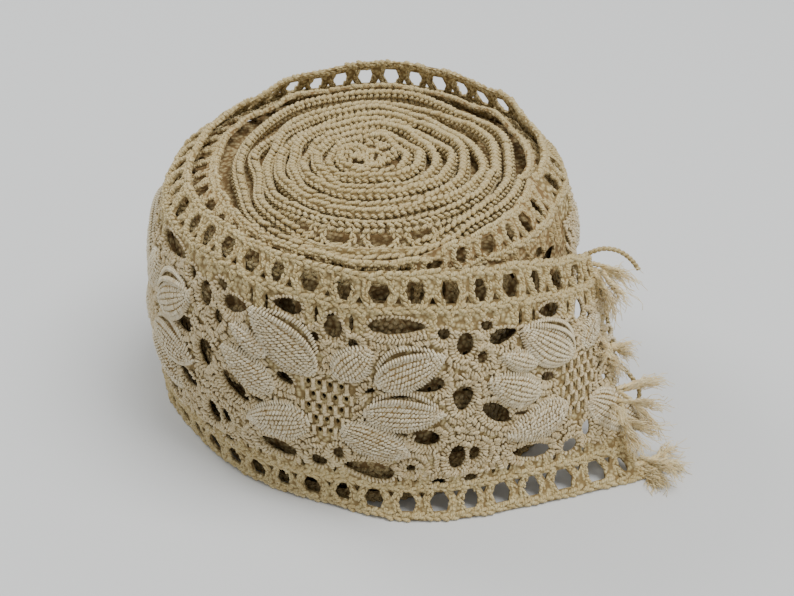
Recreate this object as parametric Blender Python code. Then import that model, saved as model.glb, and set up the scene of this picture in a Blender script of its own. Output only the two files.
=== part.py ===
"""A roll of crochet lace trim, lying on its side edge with its loose end turned out.

The trim is a long strip with a ladder of holes along each edge and a row of
leafy flowers between them. It is wound into a drum about 79 mm across and
50 mm high. Units are metres, +Z is up, the drum's axis is at x = y = 0 and
the drum stands on z = 0. The loose end lies at the right, towards -Y.
"""

import math

import bmesh
import bpy
from mathutils import Vector
from mathutils.geometry import delaunay_2d_cdt

MM = 0.001

# Driving sizes of the trim, in millimetres
TRIM_WIDTH = 48.0
TRIM_THICKNESS = 1.5
LADDER_PITCH = 5.6
LADDERS_PER_FLOWER = 8
FLOWER_REPEAT = LADDER_PITCH * LADDERS_PER_FLOWER
FLOWER_MIDDLE = 22.3
END_PAST_FLOWER = 10.4

# Heights on the flat trim, in millimetres from its lower edge
LOWER_LADDER = (2.0, 5.8)
UPPER_LADDER = (42.1, 45.9)
LADDER_HOLE_WIDTH = 4.1
LADDER_CORNER = 0.55
BEND_LINES = (6.8, 14.0, 22.0, 30.0, 36.0, 41.2)

# Places up the trim's width where a section's foot, ankle, belly, shoulder and
# top edge are given, and the ankle's height, which drops as the foot turns out
PROFILE_PLACES = (0.0, 7.0, 22.0, 40.5, TRIM_WIDTH)
PROFILE_RADII = ("foot_r", "ankle_r", "belly_r", "shoulder_r", "top_r")
ANKLE_HEIGHT = 6.9
ANKLE_DROP = 0.55

# Sizes of the winding, in millimetres and degrees
TURN_START = -16.0
TURN_END = 344.0
LAYER_GAP = 1.3
BUTT_GAP = 0.8
GROOVE_DEPTH = 2.4
EYE_X = 0.8
EYE_Y = -1.0
EYE_RISE = 1.6
PACKED_TURNS = 8.4
PACKED_TOP = 48.2
CORE_STEPS = 44
CORE_SIDE_HEIGHTS = (0.0, 9.0, 22.0, 33.0)
CORE_SHOULDER_DROP = 1.5
CORE_SHOULDER_GAP = 1.6
CORE_FLOOR = (0.0, 0.0, 0.0)

WEAVE_COLOUR = (0.577, 0.445, 0.262, 1.0)
FRAY_COLOUR = (0.730, 0.624, 0.420, 1.0)

# The outer turn, a row for each upright section. "turned" is the angle round
# the drum, "lag" how far the foot trails the top edge there, in degrees. The
# rest are the radius and height of the top edge, the shoulder and the belly,
# and the radius of the foot, in millimetres.
SECTION_COLUMNS = ("turned", "lag", "top_r", "top_z", "shoulder_r", "shoulder_z",
                   "belly_r", "belly_z", "ankle_r", "foot_r")
SECTIONS = (
    (-16, 0, 28.8, 47.5, 34.0, 42.2, 37.0, 24, 37.0, 36.6),
    (0, 0, 30.2, 48.2, 34.8, 42.8, 37.4, 24, 37.2, 36.8),
    (30, 0, 30.8, 49.8, 34.8, 43.4, 37.8, 24, 37.4, 36.6),
    (60, 0, 31.8, 51.0, 34.9, 43.9, 38.0, 24, 37.4, 36.4),
    (90, 0, 32.7, 51.2, 35.1, 44.0, 38.2, 24, 37.6, 36.4),
    (120, 0, 30.6, 49.9, 34.9, 43.9, 38.6, 24, 38.0, 36.8),
    (145, 0, 29.0, 49.1, 34.5, 43.9, 39.0, 24, 38.4, 37.4),
    (165, 0, 28.9, 48.6, 34.6, 43.8, 39.3, 24, 38.8, 38.2),
    (185, 0, 30.0, 48.0, 35.2, 43.3, 39.5, 24, 39.0, 38.8),
    (210, 0, 31.4, 47.5, 36.0, 42.6, 39.3, 23, 37.6, 36.0),
    (238, 0, 32.4, 46.8, 36.4, 41.7, 38.8, 23, 37.4, 36.4),
    (262, 1, 35.0, 46.2, 37.2, 40.0, 38.5, 22, 38.2, 37.8),
    (280, 3, 35.5, 45.4, 37.6, 38.8, 39.2, 21, 39.2, 41.8),
    (298, 6, 35.6, 44.0, 38.2, 37.2, 40.6, 20, 41.4, 44.3),
    (312, 9, 35.8, 42.0, 38.8, 35.4, 42.2, 19, 43.4, 46.2),
    (323, 11, 36.6, 39.9, 39.8, 33.6, 43.8, 19, 46.0, 49.0),
    (333.5, 13, 38.2, 37.4, 41.0, 31.6, 45.2, 19, 49.2, 53.0),
    (344, 16, 40.0, 34.2, 42.2, 29.2, 46.4, 18, 52.6, 58.3),
)

# Top edges of the inner turns, radius by angle round the drum, outermost
# first, in millimetres. They crowd at the front and lean in at the left.
INNER_COLUMNS = ("turned", "second_r", "third_r", "fourth_r", "packed_r")
INNER_EDGES = (
    (0, 27.6, 25.0, 22.8, 21.9),
    (30, 28.2, 24.6, 21.4, 19.6),
    (60, 29.0, 26.0, 21.0, 19.4),
    (90, 29.9, 27.6, 21.4, 19.6),
    (120, 28.0, 25.6, 20.4, 18.6),
    (150, 26.2, 22.2, 18.8, 17.8),
    (180, 25.4, 21.4, 18.6, 17.4),
    (210, 26.6, 23.4, 21.0, 19.2),
    (240, 29.8, 27.6, 25.4, 22.6),
    (270, 32.6, 30.6, 28.6, 23.8),
    (300, 32.0, 29.8, 27.4, 23.6),
    (330, 29.4, 27.4, 25.0, 22.8),
)
INNER_TOP = 47.3

# Leaves of one flower, a row for each: base and tip from the flower's middle,
# and width, in millimetres. They stand a little proud of the outer face.
LEAF_COLUMNS = ("base_along", "base_up", "tip_along", "tip_up", "width")
LEAVES = (
    (6.3, -0.7, 19.4, -0.6, 6.6),
    (8.2, 5.0, 18.8, 10.8, 6.8),
    (2.0, 5.5, 7.2, 12.0, 6.0),
    (-1.6, 5.6, -12.6, 14.2, 7.8),
    (-9.5, 6.6, -16.4, 9.9, 3.8),
    (-8.4, 0.4, -18.4, 5.4, 6.4),
    (-2.6, -4.0, -13.8, -6.6, 7.6),
    (2.7, -4.4, 14.2, -8.4, 7.0),
)
LEAF_RISE = 1.1
LEAF_CROWN = 0.62
LEAF_SIDES = 3

# Holes of one flower repeat, a row for each gap between the leaves and bars:
# place from the flower's middle, length, width (mm) and tilt (degrees)
GAP_COLUMNS = ("along", "up", "length", "width", "tilt")
FLOWER_GAPS = (
    (11.2, 15.9, 9.4, 3.2, 0),
    (1.3, 14.8, 4.8, 3.2, 90),
    (-6.2, 16.4, 5.2, 3.0, 0),
    (-15.8, 13.2, 5.4, 3.0, 12),
    (-16.0, -1.6, 7.0, 3.2, -36),
    (-8.6, -11.2, 7.4, 3.0, -10),
    (7.4, -12.6, 9.2, 3.6, -2),
    (16.6, -5.2, 5.4, 3.4, -16),
    (16.6, 4.9, 5.4, 3.0, 14),
    (22.4, 2.0, 5.2, 3.6, 90),
    (22.4, -9.6, 5.0, 3.2, 90),
    (22.3, 12.4, 4.6, 3.2, 90),
)
GAP_SIDES = 7

# Frayed thread ends, a row for each tuft: how high up the cut edge it roots and
# how far past it, its knot's radius, and its locks' number, length, middle
# heading and fall with their spreads (mm and degrees)
TUFT_COLUMNS = ("name", "height", "past", "knot", "locks", "length", "heading", "fan",
                "fall", "fall_spread")
TUFTS = (
    ("fray_top", 45.0, 3.0, 1.9, 8, 6.0, -24, 105, 42, 30),
    ("fray_middle", 25.0, 2.6, 1.5, 5, 3.6, -30, 100, 35, 30),
    ("fray_lower", 14.5, 3.3, 2.4, 9, 7.4, -24, 130, 14, 34),
    ("fray_bottom", 2.8, 3.2, 1.8, 8, 4.6, -20, 120, 0, 0),
)
LOCK_ROOT = 1.0
LOCK_TIP = 0.45
LOCK_CURL = 0.16
LOCK_SHORTER = 0.25
LOCK_UNEVEN = 0.15


def rows(names, table):
    """Give each row of a table its column names."""
    return [dict(zip(names, values)) for values in table]


def spline(values, keys, at):
    """A smooth curve through values at keys (Catmull-Rom), read at one place."""
    last = len(keys) - 1
    here = 0
    while here < last - 1 and at > keys[here + 1]:
        here += 1
    span = keys[here + 1] - keys[here]
    part = min(max((at - keys[here]) / span, 0.0), 1.0)
    before = max(here - 1, 0)
    after = min(here + 2, last)
    start_slope = (values[here + 1] - values[before]) / (keys[here + 1] - keys[before]) * span
    end_slope = (values[after] - values[here]) / (keys[after] - keys[here]) * span
    square = part * part
    cube = square * part
    return ((2 * cube - 3 * square + 1) * values[here] + (cube - 2 * square + part) * start_slope
            + (3 * square - 2 * cube) * values[here + 1] + (cube - square) * end_slope)


def columns(names, table):
    """Give each column of a table its name."""
    return {name: [values[index] for values in table] for index, name in enumerate(names)}


SECTION = columns(SECTION_COLUMNS, SECTIONS)
INNER = columns(INNER_COLUMNS, INNER_EDGES)


def section_at(turned):
    """The outer turn's section at an angle, each column read smoothly."""
    return {name: spline(SECTION[name], SECTION["turned"], turned) for name in SECTION_COLUMNS}


def profile_point(section, height):
    """Radius and height of the strip at a place up its width."""
    radii = [section[name] for name in PROFILE_RADII]
    ankle_z = ANKLE_HEIGHT - ANKLE_DROP * max(section["foot_r"] - section["ankle_r"], 0.0)
    levels = [0.0, ankle_z, section["belly_z"], section["shoulder_z"], section["top_z"]]
    return spline(radii, PROFILE_PLACES, height), spline(levels, PROFILE_PLACES, height)


def strip_point(turned, height):
    """A point of the outer turn's middle surface, in millimetres."""
    section = section_at(turned)
    radius, level = profile_point(section, height)
    lag = section["lag"] * (1.0 - height / TRIM_WIDTH)
    angle = math.radians(turned - lag)
    return Vector((radius * math.cos(angle), radius * math.sin(angle), level))


def strip_normal(turned, height):
    """The outward direction square to the strip."""
    step = 0.25
    low = min(max(height, step), TRIM_WIDTH - step)
    along = strip_point(turned + step, low) - strip_point(turned - step, low)
    up = strip_point(turned, low + step) - strip_point(turned, low - step)
    return along.cross(up).normalized()


def walk_table():
    """Length of trim from the turn's start to each degree, at the belly."""
    lengths = [0.0]
    last = strip_point(TURN_START, FLOWER_MIDDLE)
    for degree in range(int(TURN_START) + 1, int(TURN_END) + 1):
        point = strip_point(degree, FLOWER_MIDDLE)
        lengths.append(lengths[-1] + (point - last).length)
        last = point
    return lengths


WALK = walk_table()
TURN_LENGTH = WALK[-1]


def turned_at(length):
    """The angle reached after a length of trim."""
    for index in range(1, len(WALK)):
        if length <= WALK[index] or index == len(WALK) - 1:
            part = (length - WALK[index - 1]) / (WALK[index] - WALK[index - 1])
            return TURN_START + index - 1 + part
    return TURN_END


def material(name, colour, roughness):
    """A matte cotton surface."""
    cotton = bpy.data.materials.new(name)
    cotton.use_nodes = True
    shader = cotton.node_tree.nodes["Principled BSDF"]
    shader.inputs["Base Color"].default_value = colour
    shader.inputs["Roughness"].default_value = roughness
    shader.inputs["Metallic"].default_value = 0.0
    return cotton


def add_object(name, mesh, surface, group):
    """Put a mesh in the roll's collection with its material."""
    mesh.materials.clear()
    mesh.materials.append(surface)
    piece = bpy.data.objects.new(name, mesh)
    group.objects.link(piece)
    return piece


def oval(middle_x, middle_y, length, width, tilt, sides):
    """The corners of a rounded gap."""
    turn = math.radians(tilt)
    corners = []
    for index in range(sides):
        angle = 2 * math.pi * index / sides
        x = 0.5 * length * math.cos(angle)
        y = 0.5 * width * math.sin(angle)
        corners.append((middle_x + x * math.cos(turn) - y * math.sin(turn),
                        middle_y + x * math.sin(turn) + y * math.cos(turn)))
    return corners


def leaf_outline(base, tip, width, scale):
    """The corners of a leaf, or of its crown at a smaller scale."""
    middle = 0.5 * (base + tip)
    reach = 0.5 * scale * (tip - base)
    across = Vector((-reach.y, reach.x)).normalized() * 0.5 * scale * width
    corners = []
    for index in range(2 * LEAF_SIDES):
        angle = math.pi * index / LEAF_SIDES
        corners.append(middle + reach * math.cos(angle) + across * math.sin(angle))
    return corners


def ladder_gap(middle, low, high):
    """A six-sided hole between two crossed bars of a ladder."""
    half = 0.5 * LADDER_HOLE_WIDTH
    corner = LADDER_CORNER * half
    waist = 0.5 * (low + high)
    return [(middle - half, waist), (middle - corner, low), (middle + corner, low),
            (middle + half, waist), (middle + corner, high), (middle - corner, high)]


def ladder_middles():
    """Where the ladder's holes lie along the trim, in step with the flowers."""
    flower = TURN_LENGTH - END_PAST_FLOWER
    past = int(END_PAST_FLOWER / LADDER_PITCH) + 1
    before = int(TURN_LENGTH / LADDER_PITCH) + 1
    return [flower + (index + 0.5) * LADDER_PITCH for index in range(-before, past)]


def flower_middles():
    """Where each flower lies along the outer turn, from the loose end back."""
    count = int(TURN_LENGTH / FLOWER_REPEAT) + 2
    return [TURN_LENGTH - END_PAST_FLOWER - index * FLOWER_REPEAT for index in range(-1, count)]


def flat_leaves():
    """Base, tip and width of every leaf that lies whole on the outer turn."""
    leaves = []
    margin = 2.0
    for flower in flower_middles():
        for leaf in rows(LEAF_COLUMNS, LEAVES):
            base = Vector((flower + leaf["base_along"], FLOWER_MIDDLE + leaf["base_up"]))
            tip = Vector((flower + leaf["tip_along"], FLOWER_MIDDLE + leaf["tip_up"]))
            if margin < min(base.x, tip.x) and max(base.x, tip.x) < TURN_LENGTH - margin:
                leaves.append((base, tip, leaf["width"]))
    return leaves


def leaf_height(spot, leaves):
    """How far the outer face stands proud at a flat spot."""
    for base, tip, width in leaves:
        reach = 0.5 * (tip - base)
        offset = spot - 0.5 * (base + tip)
        across = Vector((-reach.y, reach.x)).normalized()
        along_share = offset.dot(reach) / reach.length_squared
        across_share = offset.dot(across) / (0.5 * width)
        share = math.hypot(along_share, across_share)
        if share < 1.0:
            return LEAF_RISE * min((1.0 - share) / (1.0 - LEAF_CROWN), 1.0)
    return 0.0


def flat_gaps():
    """Every hole of one turn of the flat trim."""
    gaps = []
    margin = 1.0
    for middle in ladder_middles():
        for low, high in (LOWER_LADDER, UPPER_LADDER):
            gaps.append(ladder_gap(middle, low, high))
    for flower in flower_middles():
        for gap in rows(GAP_COLUMNS, FLOWER_GAPS):
            gaps.append(oval(flower + gap["along"], FLOWER_MIDDLE + gap["up"], gap["length"],
                             gap["width"], gap["tilt"], GAP_SIDES))
    return [gap for gap in gaps if min(x for x, y in gap) > margin
            and max(x for x, y in gap) < TURN_LENGTH - margin]


def in_gap(spot, corners):
    """Whether a flat spot lies inside a gap with outward-bulging sides."""
    for index, (x, y) in enumerate(corners):
        next_x, next_y = corners[(index + 1) % len(corners)]
        if (next_x - x) * (spot.y - y) - (next_y - y) * (spot.x - x) < 0.0:
            return False
    return True


def flat_trim(leaves):
    """The flat strip with its gaps, cut into triangles along its bend lines."""
    spots = []
    lines = []

    def add_line(ends, closed=False):
        first = len(spots)
        spots.extend(Vector(end) for end in ends)
        lines.extend((first + index, first + index + 1) for index in range(len(ends) - 1))
        if closed:
            lines.append((len(spots) - 1, first))

    start = BUTT_GAP
    gaps = flat_gaps()
    add_line([(start, 0.0), (TURN_LENGTH, 0.0), (TURN_LENGTH, TRIM_WIDTH), (start, TRIM_WIDTH)],
             closed=True)
    for height in BEND_LINES:
        add_line([(start, height), (TURN_LENGTH, height)])
    for middle in ladder_middles():
        length = middle + 0.5 * LADDER_PITCH
        if start + 1.0 < length < TURN_LENGTH - 1.0:
            add_line([(length, 0.0), (length, TRIM_WIDTH)])
    for gap in gaps:
        add_line(gap, closed=True)
    for base, tip, width in leaves:
        add_line(leaf_outline(base, tip, width, 1.0), closed=True)
        add_line(leaf_outline(base, tip, width, LEAF_CROWN), closed=True)
    flat, edges, faces, *sources = delaunay_2d_cdt(spots, lines, [], 0, 0.0001)
    form = bmesh.new()
    verts = [form.verts.new((spot.x, spot.y, -0.5 * TRIM_THICKNESS)) for spot in flat]
    for face in faces:
        middle = sum((flat[index] for index in face), Vector((0.0, 0.0))) / len(face)
        if not any(in_gap(middle, gap) for gap in gaps):
            form.faces.new([verts[index] for index in face])
    bmesh.ops.delete(form, geom=[vert for vert in form.verts if not vert.link_faces])
    return form


def outer_turn(group):
    """The last turn of the trim, bent round the drum, with its foot turned out."""
    leaves = flat_leaves()
    form = flat_trim(leaves)
    thick = bmesh.ops.extrude_face_region(form, geom=form.faces[:])
    for vert in thick["geom"]:
        if isinstance(vert, bmesh.types.BMVert):
            vert.co.z += TRIM_THICKNESS
    for vert in form.verts:
        length, height, depth = vert.co
        if depth > 0.0:
            depth += leaf_height(Vector((length, height)), leaves)
        turned = turned_at(length)
        point = strip_point(turned, height) + strip_normal(turned, height) * depth
        if height < 0.01:
            point.z = 0.0
        vert.co = point * MM
    bmesh.ops.recalc_face_normals(form, faces=form.faces)
    mesh = bpy.data.meshes.new("outer_turn")
    form.to_mesh(mesh)
    form.free()
    add_object("outer_turn", mesh, material("ecru_cotton", WEAVE_COLOUR, 0.9), group)


def inner_edge(turn, turned):
    """Radius and height of an inner turn's top edge, in millimetres.

    Turn 1 lies just inside the outer turn. From turn 4 inwards the turns are
    packed close and shrink evenly towards the eye.
    """
    names = INNER_COLUMNS[1:]
    angles = INNER["turned"]
    if turn >= len(names):
        share = 1.0 - (turn - len(names) + (TURN_END - turned) / 360.0) / PACKED_TURNS
        keys = [angles[-1] - 360] + angles + [angles[0] + 360]
        packed = INNER["packed_r"]
        radii = [packed[-1]] + packed + [packed[0]]
        angle = turned + 360.0 if turned < keys[0] else turned
        radius = spline(radii, keys, angle) * max(share, 0.0)
        rise = EYE_RISE * (1.0 - share ** 2)
        return radius, PACKED_TOP + rise, 1.0 - share
    keys = []
    radii = []
    for step in range(-1, 2):
        inner = turn - 1 - step
        if 0 <= inner < len(names) - 1:
            keys += [angle + 360 * step for angle in angles]
            radii += INNER[names[inner]]
    if turn == 1:
        keys += [angle + 360 for angle in SECTION["turned"][:4]]
        radii += SECTION["top_r"][:4]
    return spline(radii, keys, turned), INNER_TOP + 0.25 * (turn - 1), 0.0


def crest_point(turn, turned):
    """A point on an inner turn's top edge."""
    radius, level, inward = inner_edge(turn, turned)
    angle = math.radians(turned)
    return Vector((EYE_X * inward + radius * math.cos(angle),
                   EYE_Y * inward + radius * math.sin(angle), level))


def core_radius(section, name, inset):
    """The core's radius: a gap inside the outer turn, and never past the turn's start."""
    return min(section[name] - inset, SECTION[name][0] + 0.5 * TRIM_THICKNESS)


def core_side(turned, height):
    """A point of the core's side, a layer's gap inside the outer turn."""
    section = section_at(turned)
    inset = 0.5 * TRIM_THICKNESS + LAYER_GAP
    names = PROFILE_RADII[:-1]
    radii = [core_radius(section, name, inset) for name in names]
    radius = spline(radii, PROFILE_PLACES[:-1], height)
    angle = math.radians(turned)
    return Vector((radius * math.cos(angle), radius * math.sin(angle), height))


def core_shoulder(turned):
    """A point where the core's side leans in towards its top."""
    section = section_at(turned)
    radius = core_radius(section, "shoulder_r", CORE_SHOULDER_GAP)
    level = max(section["shoulder_z"], SECTION["shoulder_z"][0]) - CORE_SHOULDER_DROP
    angle = math.radians(turned)
    return Vector((radius * math.cos(angle), radius * math.sin(angle), level))


def wound_core(group):
    """The inner turns as one closed form: a drum with spiral ridges on top."""
    form = bmesh.new()
    rings = 2 * (len(INNER_COLUMNS) - 1 + int(PACKED_TURNS))
    angles = [TURN_START + (TURN_END - TURN_START) * step / CORE_STEPS
              for step in range(CORE_STEPS + 1)]
    grid = {}

    def top_vert(ring, step):
        """A ridge or groove point; the last step of a ring begins the ring outside it."""
        if step == CORE_STEPS and ring >= 2:
            return top_vert(ring - 2, 0)
        if (ring, step) not in grid:
            turn = 1 + ring // 2
            point = crest_point(turn, angles[step])
            if ring % 2:
                inner = crest_point(turn + 1, angles[step])
                point = 0.5 * (point + inner)
                point.z -= GROOVE_DEPTH
            grid[(ring, step)] = form.verts.new(point * MM)
        return grid[(ring, step)]

    side = [[form.verts.new(core_side(angle, height) * MM) for angle in angles]
            for height in CORE_SIDE_HEIGHTS]
    side.append([form.verts.new(core_shoulder(angle) * MM) for angle in angles])
    top = [top_vert(0, step) for step in range(CORE_STEPS + 1)]
    levels = side + [top]
    for lower, upper in zip(levels, levels[1:]):
        for step in range(CORE_STEPS):
            form.faces.new((lower[step], lower[step + 1], upper[step + 1], upper[step]))
    for ring in range(rings - 1):
        for step in range(CORE_STEPS):
            corners = [top_vert(ring, step), top_vert(ring, step + 1),
                       top_vert(ring + 1, step + 1), top_vert(ring + 1, step)]
            form.faces.new(corners)
    butt = [level[-1] for level in levels] + [top_vert(1, CORE_STEPS), top_vert(0, 0)]
    butt += [level[0] for level in reversed(side)]
    form.faces.new(butt)
    floor_middle = form.verts.new(CORE_FLOOR)
    for step in range(CORE_STEPS):
        form.faces.new((floor_middle, side[0][step + 1], side[0][step]))
    form.faces.new((floor_middle, side[0][0], side[0][-1]))
    last = rings - 1
    eye_ring = [top_vert(last, step) for step in range(CORE_STEPS)]
    eye_ring += [top_vert(last - 2, 0), top_vert(last - 1, 0)]
    eye = form.verts.new(Vector((EYE_X, EYE_Y, PACKED_TOP + EYE_RISE)) * MM)
    for index, vert in enumerate(eye_ring):
        form.faces.new((vert, eye_ring[(index + 1) % len(eye_ring)], eye))
    bmesh.ops.triangulate(form, faces=form.faces)
    bmesh.ops.recalc_face_normals(form, faces=form.faces)
    mesh = bpy.data.meshes.new("wound_core")
    form.to_mesh(mesh)
    form.free()
    add_object("wound_core", mesh, material("ecru_cotton_inner", WEAVE_COLOUR, 0.9), group)


def knot_mesh(size):
    """A small round knot of thread."""
    form = bmesh.new()
    bmesh.ops.create_icosphere(form, subdivisions=2, radius=size * MM)
    mesh = bpy.data.meshes.new("knot")
    form.to_mesh(mesh)
    form.free()
    return mesh


def lock_mesh(length):
    """A four-sided lock of thread along +X, thinner and drooping towards its tip."""
    form = bmesh.new()
    bmesh.ops.create_cone(form, cap_ends=True, segments=4, radius1=LOCK_ROOT * MM,
                          radius2=LOCK_TIP * MM, depth=length * MM)
    bmesh.ops.bisect_plane(form, geom=form.verts[:] + form.edges[:] + form.faces[:],
                           plane_co=(0.0, 0.0, 0.0), plane_no=(0.0, 0.0, 1.0))
    for vert in form.verts:
        x, y, z = vert.co
        along = z + 0.5 * length * MM
        vert.co = (along, y, x)
    mesh = bpy.data.meshes.new("lock")
    form.to_mesh(mesh)
    form.free()
    return mesh


def fray(row, group, helpers):
    """A tuft of frayed thread ends, its locks rooted in one knot."""
    edge = strip_point(TURN_END, row["height"])
    out = edge - strip_point(TURN_END - 4, row["height"])
    out.z = 0.0
    middle = edge + out.normalized() * row["past"]
    middle.z = max(middle.z, row["knot"])
    surface = material(row["name"] + "_cotton", FRAY_COLOUR, 0.95)
    tuft = add_object(row["name"], knot_mesh(row["knot"]), surface, group)
    tuft.location = middle * MM
    on_floor = row["fall"] == 0
    for index in range(row["locks"]):
        part = index / (row["locks"] - 1) - 0.5
        length = row["length"] * (1.0 - LOCK_SHORTER * abs(part) + LOCK_UNEVEN * (index % 2))
        piece = bpy.data.objects.new(row["name"] + "_lock_" + str(index), lock_mesh(length))
        helpers.objects.link(piece)
        piece.hide_render = True
        piece.display_type = "WIRE"
        root = middle.copy()
        fall = math.radians(row["fall"] + row["fall_spread"] * (index % 3 - 1))
        curl = LOCK_CURL * length * MM
        if on_floor:
            root.z = LOCK_ROOT
            fall = math.atan2(LOCK_ROOT - LOCK_TIP, length)
            curl = 0.0
        piece.location = root * MM
        piece.rotation_euler = (0.0, fall, math.radians(row["heading"] + row["fan"] * part))
        for vert in piece.data.vertices:
            share = vert.co.x / (length * MM)
            vert.co.z += curl * share * (1.0 - share)
        join = tuft.modifiers.new("join_" + str(index), "BOOLEAN")
        join.operation = "UNION"
        join.solver = "EXACT"
        join.object = piece


def build():
    """Clear the scene and make every piece."""
    for old in list(bpy.data.objects):
        bpy.data.objects.remove(old)
    group = bpy.data.collections.new("lace_trim_roll")
    helpers = bpy.data.collections.new("lock_shapes")
    bpy.context.scene.collection.children.link(group)
    bpy.context.scene.collection.children.link(helpers)
    wound_core(group)
    outer_turn(group)
    for row in rows(TUFT_COLUMNS, TUFTS):
        fray(row, group, helpers)


build()
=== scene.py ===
# %% [markdown]
# # A roll of crochet lace trim
#
# This lesson dresses a finished, measured model: a roll of ecru crochet trim that
# stands on its side edge, with its loose end turned out at the right. The measured
# solids say where everything is. The lesson adds what the hand and the eye look for
# in crochet: every stitch of the edges, every wrapped thread of the leaves, and the
# fuzz of the cut end.
#
# The first step loads the solids.

# %% Load the measured frame
import math

import bpy
import numpy as np
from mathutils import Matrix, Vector
from mathutils.geometry import delaunay_2d_cdt


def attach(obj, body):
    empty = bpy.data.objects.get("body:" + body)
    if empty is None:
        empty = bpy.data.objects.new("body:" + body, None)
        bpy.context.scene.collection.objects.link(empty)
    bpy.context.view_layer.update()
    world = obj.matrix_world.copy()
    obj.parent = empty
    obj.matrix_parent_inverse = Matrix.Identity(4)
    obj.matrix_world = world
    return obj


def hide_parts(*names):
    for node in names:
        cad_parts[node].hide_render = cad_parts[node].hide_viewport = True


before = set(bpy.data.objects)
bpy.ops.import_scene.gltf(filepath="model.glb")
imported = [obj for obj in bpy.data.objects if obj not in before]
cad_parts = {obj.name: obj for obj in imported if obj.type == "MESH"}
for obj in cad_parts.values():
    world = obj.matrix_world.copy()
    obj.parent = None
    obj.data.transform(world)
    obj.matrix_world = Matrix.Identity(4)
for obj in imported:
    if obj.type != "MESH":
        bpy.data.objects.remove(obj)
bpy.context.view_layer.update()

MM = 0.001
print("nodes:", sorted(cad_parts))

# %% [markdown]
# The trim is drawn flat first, the way it was crocheted: a length along it, a height
# up it and a depth out of it, all in millimetres. These are its driving sizes. One
# flower repeat is eight holes of the ladder that runs along each edge.

# %% Sizes of the flat trim, in millimetres
TRIM_WIDTH = 48.0
LADDER_PITCH = 5.6
LADDERS_PER_FLOWER = 8
FLOWER_REPEAT = LADDER_PITCH * LADDERS_PER_FLOWER
FLOWER_MIDDLE = 22.3
END_PAST_FLOWER = 10.4
LADDERS = ((5.8, 2.0), (42.1, 45.9))
WAIST_HOLE, NEAR_HOLE, FAR_HOLE = 1.7, 0.8, 1.15
CROTCH_HALF, CROTCH_RISE = 0.6, 1.3
SLIT_WIDTH = 0.8
SLITS = ((38.3, 3.4), (8.9, 2.0))
BEND_LINES = (6.8, 14.0, 22.0, 30.0, 36.0, 41.2)
RAILS = (1.0, 6.7, 41.2, 47.0)
RAIL_WIDTH = 1.9

PROFILE_PLACES = (0.0, 7.0, 22.0, 40.5, TRIM_WIDTH)
PROFILE_RADII = ("foot_r", "ankle_r", "belly_r", "shoulder_r", "top_r")
ANKLE_HEIGHT = 6.9
ANKLE_DROP = 0.55
TURN_START = -16.0
TURN_END = 344.0
LAYER_INSET = 2.1
EYE_X, EYE_Y, EYE_RISE = 0.0, -2.2, 1.0
PACKED_TURNS = 8.4
PACKED_TOP = 48.2
INNER_TOP = 47.3

# The outer turn, a row for each upright section: the angle round the drum, how far
# the foot trails the top edge there (degrees), and the radius and height of the top
# edge, shoulder and belly and the radius of the ankle and foot (mm)
SECTION_COLUMNS = ("turned", "lag", "top_r", "top_z", "shoulder_r", "shoulder_z",
                   "belly_r", "belly_z", "ankle_r", "foot_r")
SECTIONS = (
    (-16, 0, 28.8, 47.5, 34.0, 42.2, 37.0, 24, 37.0, 36.6),
    (0, 0, 30.2, 48.2, 34.8, 42.8, 37.4, 24, 37.2, 36.8),
    (30, 0, 30.8, 49.8, 34.8, 43.4, 37.8, 24, 37.4, 36.6),
    (60, 0, 31.8, 51.0, 34.9, 43.9, 38.0, 24, 37.4, 36.4),
    (90, 0, 32.7, 51.2, 35.1, 44.0, 38.2, 24, 37.6, 36.4),
    (120, 0, 30.6, 49.9, 34.9, 43.9, 38.6, 24, 38.0, 36.8),
    (145, 0, 29.0, 49.1, 34.5, 43.9, 39.0, 24, 38.4, 37.4),
    (165, 0, 28.9, 48.6, 34.6, 43.8, 39.3, 24, 38.8, 38.2),
    (185, 0, 30.0, 48.0, 35.2, 43.3, 39.5, 24, 39.0, 38.8),
    (210, 0, 31.4, 47.5, 36.0, 42.6, 39.3, 23, 37.6, 36.0),
    (238, 0, 32.4, 46.8, 36.4, 41.7, 38.8, 23, 37.4, 36.4),
    (262, 1, 35.0, 46.2, 37.2, 40.0, 38.5, 22, 38.2, 37.8),
    (280, 3, 35.5, 45.4, 37.6, 38.8, 39.2, 21, 39.2, 41.8),
    (298, 6, 35.6, 44.0, 38.2, 37.2, 40.6, 20, 41.4, 44.3),
    (312, 9, 35.8, 42.0, 38.8, 35.4, 42.2, 19, 43.4, 46.2),
    (323, 11, 36.6, 39.9, 39.8, 33.6, 43.8, 19, 46.0, 49.0),
    (333.5, 13, 38.2, 37.4, 41.0, 31.6, 45.2, 19, 49.2, 53.0),
    (344, 16, 40.0, 34.2, 42.2, 29.2, 46.4, 18, 52.6, 58.3),
)

# Top edges of the inner turns, radius by angle round the drum, outermost first (mm)
INNER_COLUMNS = ("turned", "second_r", "third_r", "fourth_r", "packed_r")
INNER_EDGES = (
    (0, 27.6, 25.0, 22.8, 21.9),
    (30, 28.2, 24.6, 21.4, 19.6),
    (60, 29.0, 26.0, 21.0, 19.4),
    (90, 29.9, 27.6, 21.4, 19.6),
    (120, 28.0, 25.6, 20.4, 18.6),
    (150, 26.2, 22.2, 18.8, 17.8),
    (180, 25.4, 21.4, 18.6, 17.4),
    (210, 26.6, 23.4, 21.0, 19.2),
    (240, 30.6, 28.0, 25.6, 22.6),
    (270, 33.6, 31.2, 28.8, 23.8),
    (300, 32.0, 29.8, 27.4, 23.6),
    (330, 29.4, 27.4, 25.0, 22.8),
)


def columns(names, table):
    """Give each column of a table its name, as an array."""
    return dict(zip(names, np.array(table, float).T))


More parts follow.
